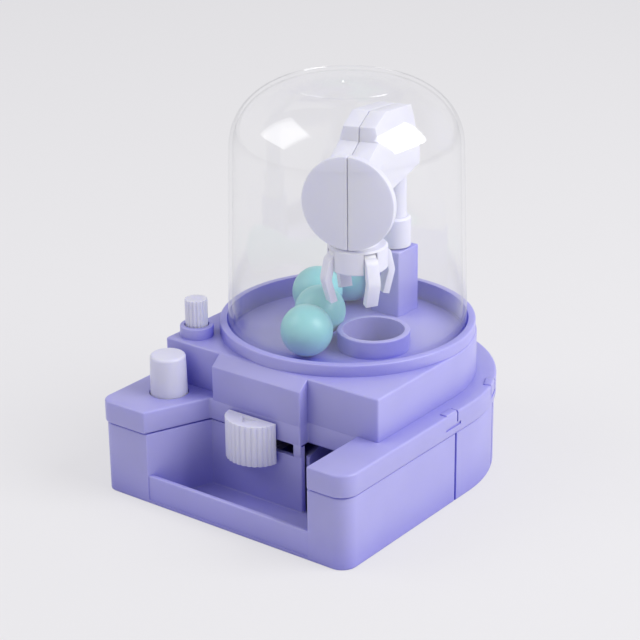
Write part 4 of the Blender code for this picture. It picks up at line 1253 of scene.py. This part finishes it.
@dataclass
class Crane:
    """The crane's column, its two-part arm with the round plate, and the claw's hub."""

    shaper: Shaper
    palette: Palette
    column: Point = (0.0, 31.0)
    heading: float = 17.0
    column_radius: float = 4.6
    collar_radius: float = 6.4
    collar_z: Point = (78.2, 90.0)
    column_z: Point = (14.8, 118.0)
    column_bore: float = 2.2
    bottom: float = 111.0
    half_width: float = 9.1
    wall: float = 2.0
    seam: float = 0.3
    disc_at: float = 51.9
    disc_thick: float = 3.2
    disc_radius: float = 17.7
    disc_z: float = 112.0
    claw_at: float = 43.9
    hub_radius: float = 11.2
    hub_z: Point = (84.5, 93.6)
    neck_radii: Point = (7.0, 5.7)
    neck_top: float = 115.0
    gap: float = 0.3
    hub_slot: tuple[Point, Point] = ((3.0, 15.0), (-2.8, 2.8))
    place: Matrix = field(init=False)
    claw: Matrix = field(init=False)

    def __post_init__(self) -> None:
        """Works out the frames of the crane and of the claw's axis."""
        turn = Matrix.Rotation(math.radians(self.heading - 90), 4, "Z")
        self.place = Matrix.Translation((self.column[0] * MM, self.column[1] * MM, 0)) @ turn
        self.claw = self.place @ Matrix.Translation((self.claw_at * MM, 0, 0))

    def build_column(self) -> bpy.types.Object:
        """The hollow column with its collar above the post.

        Returns:
            The dressed column.
        """
        radius, bore = self.column_radius, self.column_bore
        low, top = self.collar_z
        profile = [
            (radius, self.column_z[1]),
            (radius, top),
            (self.collar_radius - 0.7, top),
            (self.collar_radius, top - 0.7),
            (self.collar_radius, low),
            (radius, low),
            (radius, self.column_z[0]),
            (bore, self.column_z[0]),
            (bore, self.column_z[1]),
        ]
        column = self.shaper.turned("hollow_column", profile, steps=96, at=self.place)
        self.shaper.smooth(column)
        return dress(column, self.palette.white, "crane", "white_plastic", "crane_column")

    def sections(self, inset: float, side: int) -> list[list[Triple]]:
        """Half sections of the arm from tail to nose.

        Args:
            inset: how far every wall moves in.
            side: -1 for the left half, 1 for the right half.

        Returns:
            One ring of points for each station along the arm.
        """
        # Each station: along the arm, bottom, eave, top, half width below, half width at the top.
        stations = [
            (-6.5 + inset, 113.0, 116.5, 126.0, 6.6, 5.0),
            (-3.0, self.bottom, 116.8, 131.0, self.half_width, 6.2),
            (0.0, self.bottom, 117.2, 134.8, self.half_width, 6.4),
            (30.0, self.bottom, 122.3, 140.0, self.half_width, 6.4),
            (41.7 - inset, self.bottom, 124.2, 137.0, self.half_width, 6.2),
            (42.0 - inset, self.bottom, 124.0, 131.6, 9.0, 7.6),
            (self.disc_at + 1 - inset * 1.5, self.bottom, 123.0, 128.0, 9.0, 7.4),
        ]
        near = side * self.seam / 2 if not inset else -side * 1.0
        rings = []
        for along, bottom, eave, top, low_half, top_half in stations:
            rings.append(
                [
                    (along, near, bottom + inset),
                    (along, side * (low_half - inset), bottom + inset),
                    (along, side * (low_half - inset), eave),
                    (along, side * (top_half - inset), top - inset),
                    (along, near, top - inset),
                ]
            )
        return rings

    def build_arm(self, name: str, side: int, node: str) -> bpy.types.Object:
        """One half of the arm with its half of the round plate.

        Args:
            name: the piece's name.
            side: -1 for the left half, 1 for the right half.
            node: the CAD node it stands for.

        Returns:
            The dressed half.
        """
        make = self.shaper
        half = make.loft(name, self.sections(0, side), self.place)
        make.round_edges(half, 0.6, 12.0)
        rim = arc((0, self.disc_z), self.disc_radius, -90, 90, 72)
        plate = [(side * max(x, self.seam / 2), z) for x, z in rim]
        sideways = self.place @ Matrix.Rotation(math.pi / 2, 4, "Z") @ UPRIGHT
        depth = (-self.disc_at - self.disc_thick, -self.disc_at)
        make.join(half, make.prism("round_plate", plate, depth, 0.45, sideways))
        under = self.bottom - PAST
        neck, neck_z = self.neck_radii[0] + self.gap, (under, self.neck_top + 1)
        column, column_z = self.column_radius + self.gap, (under, self.column_z[1])
        make.cut(
            half,
            make.loft("hollow", self.sections(self.wall, side), self.place),
            make.cylinder("neck_bore", neck, neck_z, at=self.claw),
            make.cylinder("column_bore", column, column_z, at=self.place),
        )
        make.smooth(half, 24)
        return dress(half, self.palette.white, "crane", "white_plastic", node)

    def build_hub(self) -> bpy.types.Object:
        """The claw's hub: a drum with four finger slots under a narrower neck.

        Returns:
            The dressed hub.
        """
        make = self.shaper
        neck, bore = self.neck_radii
        low, high = self.hub_z
        profile = [
            (neck, self.neck_top),
            (neck, high + 0.8),
            (neck + 0.8, high),
            (self.hub_radius - 0.7, high),
            (self.hub_radius, high - 0.7),
            (self.hub_radius, low + 0.5),
            (self.hub_radius - 0.5, low),
            (bore, low),
            (bore, self.neck_top),
        ]
        hub = make.turned("claw_hub", profile, steps=112, at=self.claw)
        for number in range(4):
            turn = self.claw @ Matrix.Rotation(math.radians(45 + 90 * number), 4, "Z")
            slot = make.block("slot", *self.hub_slot, (low - PAST, high - 0.8), at=turn)
            make.cut(hub, slot)
        make.smooth(hub)
        return dress(hub, self.palette.white, "crane", "white_plastic", "claw_holder")


@dataclass
class Claw:
    """The four fingers on their pins."""

    shaper: Shaper
    palette: Palette
    crane: Crane
    pivot: Point = (9.0, 90.6)
    toe: float = 4.7
    root: Point = (11.4, 88.8)
    elbow: Point = (13.0, 81.6)
    tip: Point = (10.6, 72.8)
    width: float = 4.8
    thickness: float = 2.6
    eye: float = 1.9
    bore: float = 1.1
    easing: Point = (0.25, 0.12)
    drawn_in: float = 0.03

    def route(self) -> list[Point]:
        """The finger's middle line, with a rounded shoulder and elbow.

        Returns:
            The points, from the toe to the tip.
        """
        x, z = self.pivot
        corners = [(self.toe, z), (x, z), self.root, self.elbow, self.tip]
        points = [corners[0], corners[1]]
        for before, corner, after in zip(corners[1:], corners[2:], corners[3:]):
            for share in self.easing:
                points.append(tuple(c + share * (b - c) for c, b in zip(corner, before)))
            ends = zip(after, before, corner)
            points.append(tuple(c + self.drawn_in * (a + b - 2 * c) for a, b, c in ends))
            for share in self.easing[::-1]:
                points.append(tuple(c + share * (a - c) for c, a in zip(corner, after)))
        return points + [corners[-1]]

    def strip(self, points: Sequence[Point]) -> list[Point]:
        """Outline of a flat strip of the finger's thickness along the points.

        Args:
            points: the strip's middle line.

        Returns:
            The outline.
        """
        left, right = [], []
        for i, (x, y) in enumerate(points):
            before, after = points[max(i - 1, 0)], points[min(i + 1, len(points) - 1)]
            length = math.dist(before, after)
            nx, ny = -(after[1] - before[1]) / length, (after[0] - before[0]) / length
            half = self.thickness / 2
            left.append((x + nx * half, y + ny * half))
            right.append((x - nx * half, y - ny * half))
        return left + right[::-1]

    def build(self) -> None:
        """All four fingers, each a curved strip with an eye round its pin."""
        make = self.shaper
        half = self.width / 2
        x, z = self.pivot
        for number in range(1, 5):
            turn = Matrix.Rotation(math.radians(45 + 90 * (number - 1)), 4, "Z")
            at = self.crane.claw @ turn @ UPRIGHT
            outline = self.strip(self.route())
            finger = make.prism(f"finger_{number}", outline, (-half, half), 0.5, at, 40)
            ring = make.cylinder("eye", self.eye, (-half + 0.1, half - 0.1), (x, z), 0.2, 48, at)
            make.join(finger, ring)
            bore_z = (-half - 1, half + 1)
            make.cut(finger, make.cylinder("bore", self.bore, bore_z, (x, z), 0, 32, at))
            make.smooth(finger, 35)
            body = f"claw_finger_{number}"
            dress(finger, self.palette.white, body, "white_plastic", body)


# ---------------------------------------------------------------- works inside and studio


class Works:
    """The gears, pins, levers and screws inside the case, which keep their CAD shapes."""

    MOVING = (
        "slider_plate swing_sector swing_pinion gear_plate lift_pinion idler_gear_1 idler_gear_2 "
        "lift_nut lift_carrier button_beam claw_lever claw_plunger"
    ).split()
    METAL = (
        "case_screw_1 case_screw_2 case_screw_3 case_screw_4 arm_screw_1 arm_screw_2 beam_pin "
        "sector_pin push_rod lever_pin finger_pin_1 finger_pin_2 finger_pin_3 finger_pin_4"
    ).split()

    def __init__(self, frame: dict[str, Any], palette: Palette) -> None:
        """Keeps the frame's nodes and the finishes."""
        self.nodes = frame["nodes"]
        self.palette = palette

    def dress(self) -> None:
        """Gives every inner piece its finish."""
        finishes = [(self.MOVING, self.palette.grey), (self.METAL, self.palette.steel)]
        for names, material in finishes + [(["prize_ramp"], self.palette.lilac)]:
            for name in names:
                obj = self.nodes[name]
                for slot in obj.material_slots:
                    slot.material = material
                if not obj.material_slots:
                    obj.data.materials.append(material)
                LOG.info("%s keeps its shape", name)


@dataclass(frozen=True)
class SoftBox:
    """One lamp: where it hangs, the size of its front and its power in watts."""

    name: str
    at: Triple
    size: Point
    power: float


@dataclass
class Studio:
    """A pale floor, two soft boxes, a soft sky and the camera; its lengths are in metres."""

    boxes: tuple[SoftBox, ...] = (
        SoftBox("left_box", (-0.62, -0.55, 0.85), (0.7, 0.7), 3.2),
        SoftBox("right_box", (0.85, 0.25, 0.85), (0.8, 0.7), 11.5),
    )
    aim: Triple = (0.0, 0.0, 0.08)
    camera_at: Triple = (0.4129, -0.5588, 0.3383)
    azimuth: float = 37.33
    elevation: float = 22.08
    roll: float = -0.646
    lens: float = 110.54
    sensor: float = 36.0
    floor_half: float = 4.0
    floor_tone: Triple = (0.78, 0.775, 0.79)
    floor_glow: float = 0.72
    seen_tone: Triple = (0.815, 0.805, 0.83)
    sky_tone: Triple = (0.98, 0.98, 1.0)
    world_strength: float = 0.50

    def backdrop_material(self) -> bpy.types.Material:
        """Pale paper that the camera and clear plastic see at one even tone, with its shadow.

        Returns:
            The material.
        """
        graph = Graph(bpy.data.materials.new("studio_paper"))
        fibre = graph.noise(graph.place(), 900.0, 2.0)
        graph.shade(Base_Color=(*self.floor_tone, 1.0), Roughness=0.85 + 0.1 * (fibre - 0.5))
        glow = graph.node("ShaderNodeEmission", {}, {"Color": (*self.seen_tone, 1.0)})["Emission"]
        rays = graph.node("ShaderNodeLightPath", {}, {})
        seen = rays["Is Camera Ray"].or_more(rays["Is Transmission Ray"])
        graph.cover(graph.mix(seen * self.floor_glow, graph.surface(), glow))
        return graph.owner

    def build_floor(self) -> bpy.types.Object:
        """Lays the floor.

        Returns:
            The floor.
        """
        bm = bmesh.new()
        bmesh.ops.create_grid(bm, x_segments=8, y_segments=8, size=self.floor_half)
        mesh = bpy.data.meshes.new("floor")
        bm.to_mesh(mesh)
        bm.free()
        floor = bpy.data.objects.new("floor", mesh)
        bpy.context.scene.collection.objects.link(floor)
        floor.data.materials.append(self.backdrop_material())
        return floor

    def build_world(self) -> None:
        """An even pale sky, which the camera and gloss see at the background's own tone."""
        world = bpy.data.worlds.new("studio_air")
        bpy.context.scene.world = world
        graph = Graph(world, Ends.WORLD)
        graph.shade(Color=(*self.sky_tone, 1.0), Strength=self.world_strength)
        seen = graph.node("ShaderNodeBackground", {}, {"Color": (*self.seen_tone, 1.0)})
        rays = graph.node("ShaderNodeLightPath", {}, {})
        either = rays["Is Camera Ray"].or_more(rays["Is Glossy Ray"])
        graph.cover(graph.mix(either, graph.surface(), seen["Background"]))

    def build_lamp(self, box: SoftBox) -> None:
        """Hangs one soft box, facing the toy.

        Args:
            box: the lamp.
        """
        lamp = bpy.data.lights.new(box.name, "AREA")
        lamp.shape = "RECTANGLE"
        lamp.size, lamp.size_y = box.size
        lamp.energy = box.power
        obj = bpy.data.objects.new(box.name, lamp)
        obj.location = box.at
        facing = Vector(self.aim) - Vector(box.at)
        obj.rotation_euler = facing.to_track_quat("-Z", "Y").to_euler()
        bpy.context.scene.collection.objects.link(obj)

    def build_camera(self) -> None:
        """The camera, looking down at the front right corner."""
        angles = (self.azimuth, self.elevation, self.roll)
        azimuth, elevation, roll = (math.radians(angle) for angle in angles)
        flat = math.cos(elevation)
        back = Vector((math.sin(azimuth) * flat, -math.cos(azimuth) * flat, math.sin(elevation)))
        right = Vector((math.cos(azimuth), math.sin(azimuth), 0))
        up = back.cross(right)
        across = right * math.cos(roll) + up * math.sin(roll)
        upward = up * math.cos(roll) - right * math.sin(roll)
        matrix = Matrix((across, upward, back)).transposed().to_4x4()
        matrix.translation = Vector(self.camera_at)
        data = bpy.data.cameras.new("view")
        data.lens = self.lens
        data.sensor_width = self.sensor
        data.clip_start = 0.01
        camera = bpy.data.objects.new("view", data)
        camera.matrix_world = matrix
        bpy.context.scene.collection.objects.link(camera)
        bpy.context.scene.camera = camera

    def build(self) -> None:
        """Everything round the object."""
        self.build_floor()
        self.build_world()
        for box in self.boxes:
            self.build_lamp(box)
        self.build_camera()
        bpy.context.scene.view_settings.view_transform = "Standard"


def main() -> None:
    """Builds the machine round its frame, then the studio."""
    logging.basicConfig(level=logging.INFO, format="%(message)s")
    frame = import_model()
    shaper = Shaper()
    palette = Palette()
    grooves = ((57.0, -9.6, 0.0), (52.1, 23.2, 24.0))
    controls = Controls(shaper, palette)
    shells = CaseShells(shaper, palette)
    shells.build_lower(grooves)
    shells.build_upper(controls.knob, controls.button, grooves)
    controls.build_button()
    controls.build_spring()
    controls.build_knob()
    controls.build_slider()
    field_parts = PlayField(shaper, palette)
    field_parts.build_deck()
    field_parts.build_balls()
    crane = Crane(shaper, palette)
    crane.build_column()
    crane.build_arm("arm_half_left", -1, "arm_left")
    crane.build_arm("arm_half_right", 1, "arm_right")
    crane.build_hub()
    Claw(shaper, palette, crane).build()
    field_parts.build_dome()
    Works(frame, palette).dress()
    Studio().build()


if __name__ == "__main__":
    main()
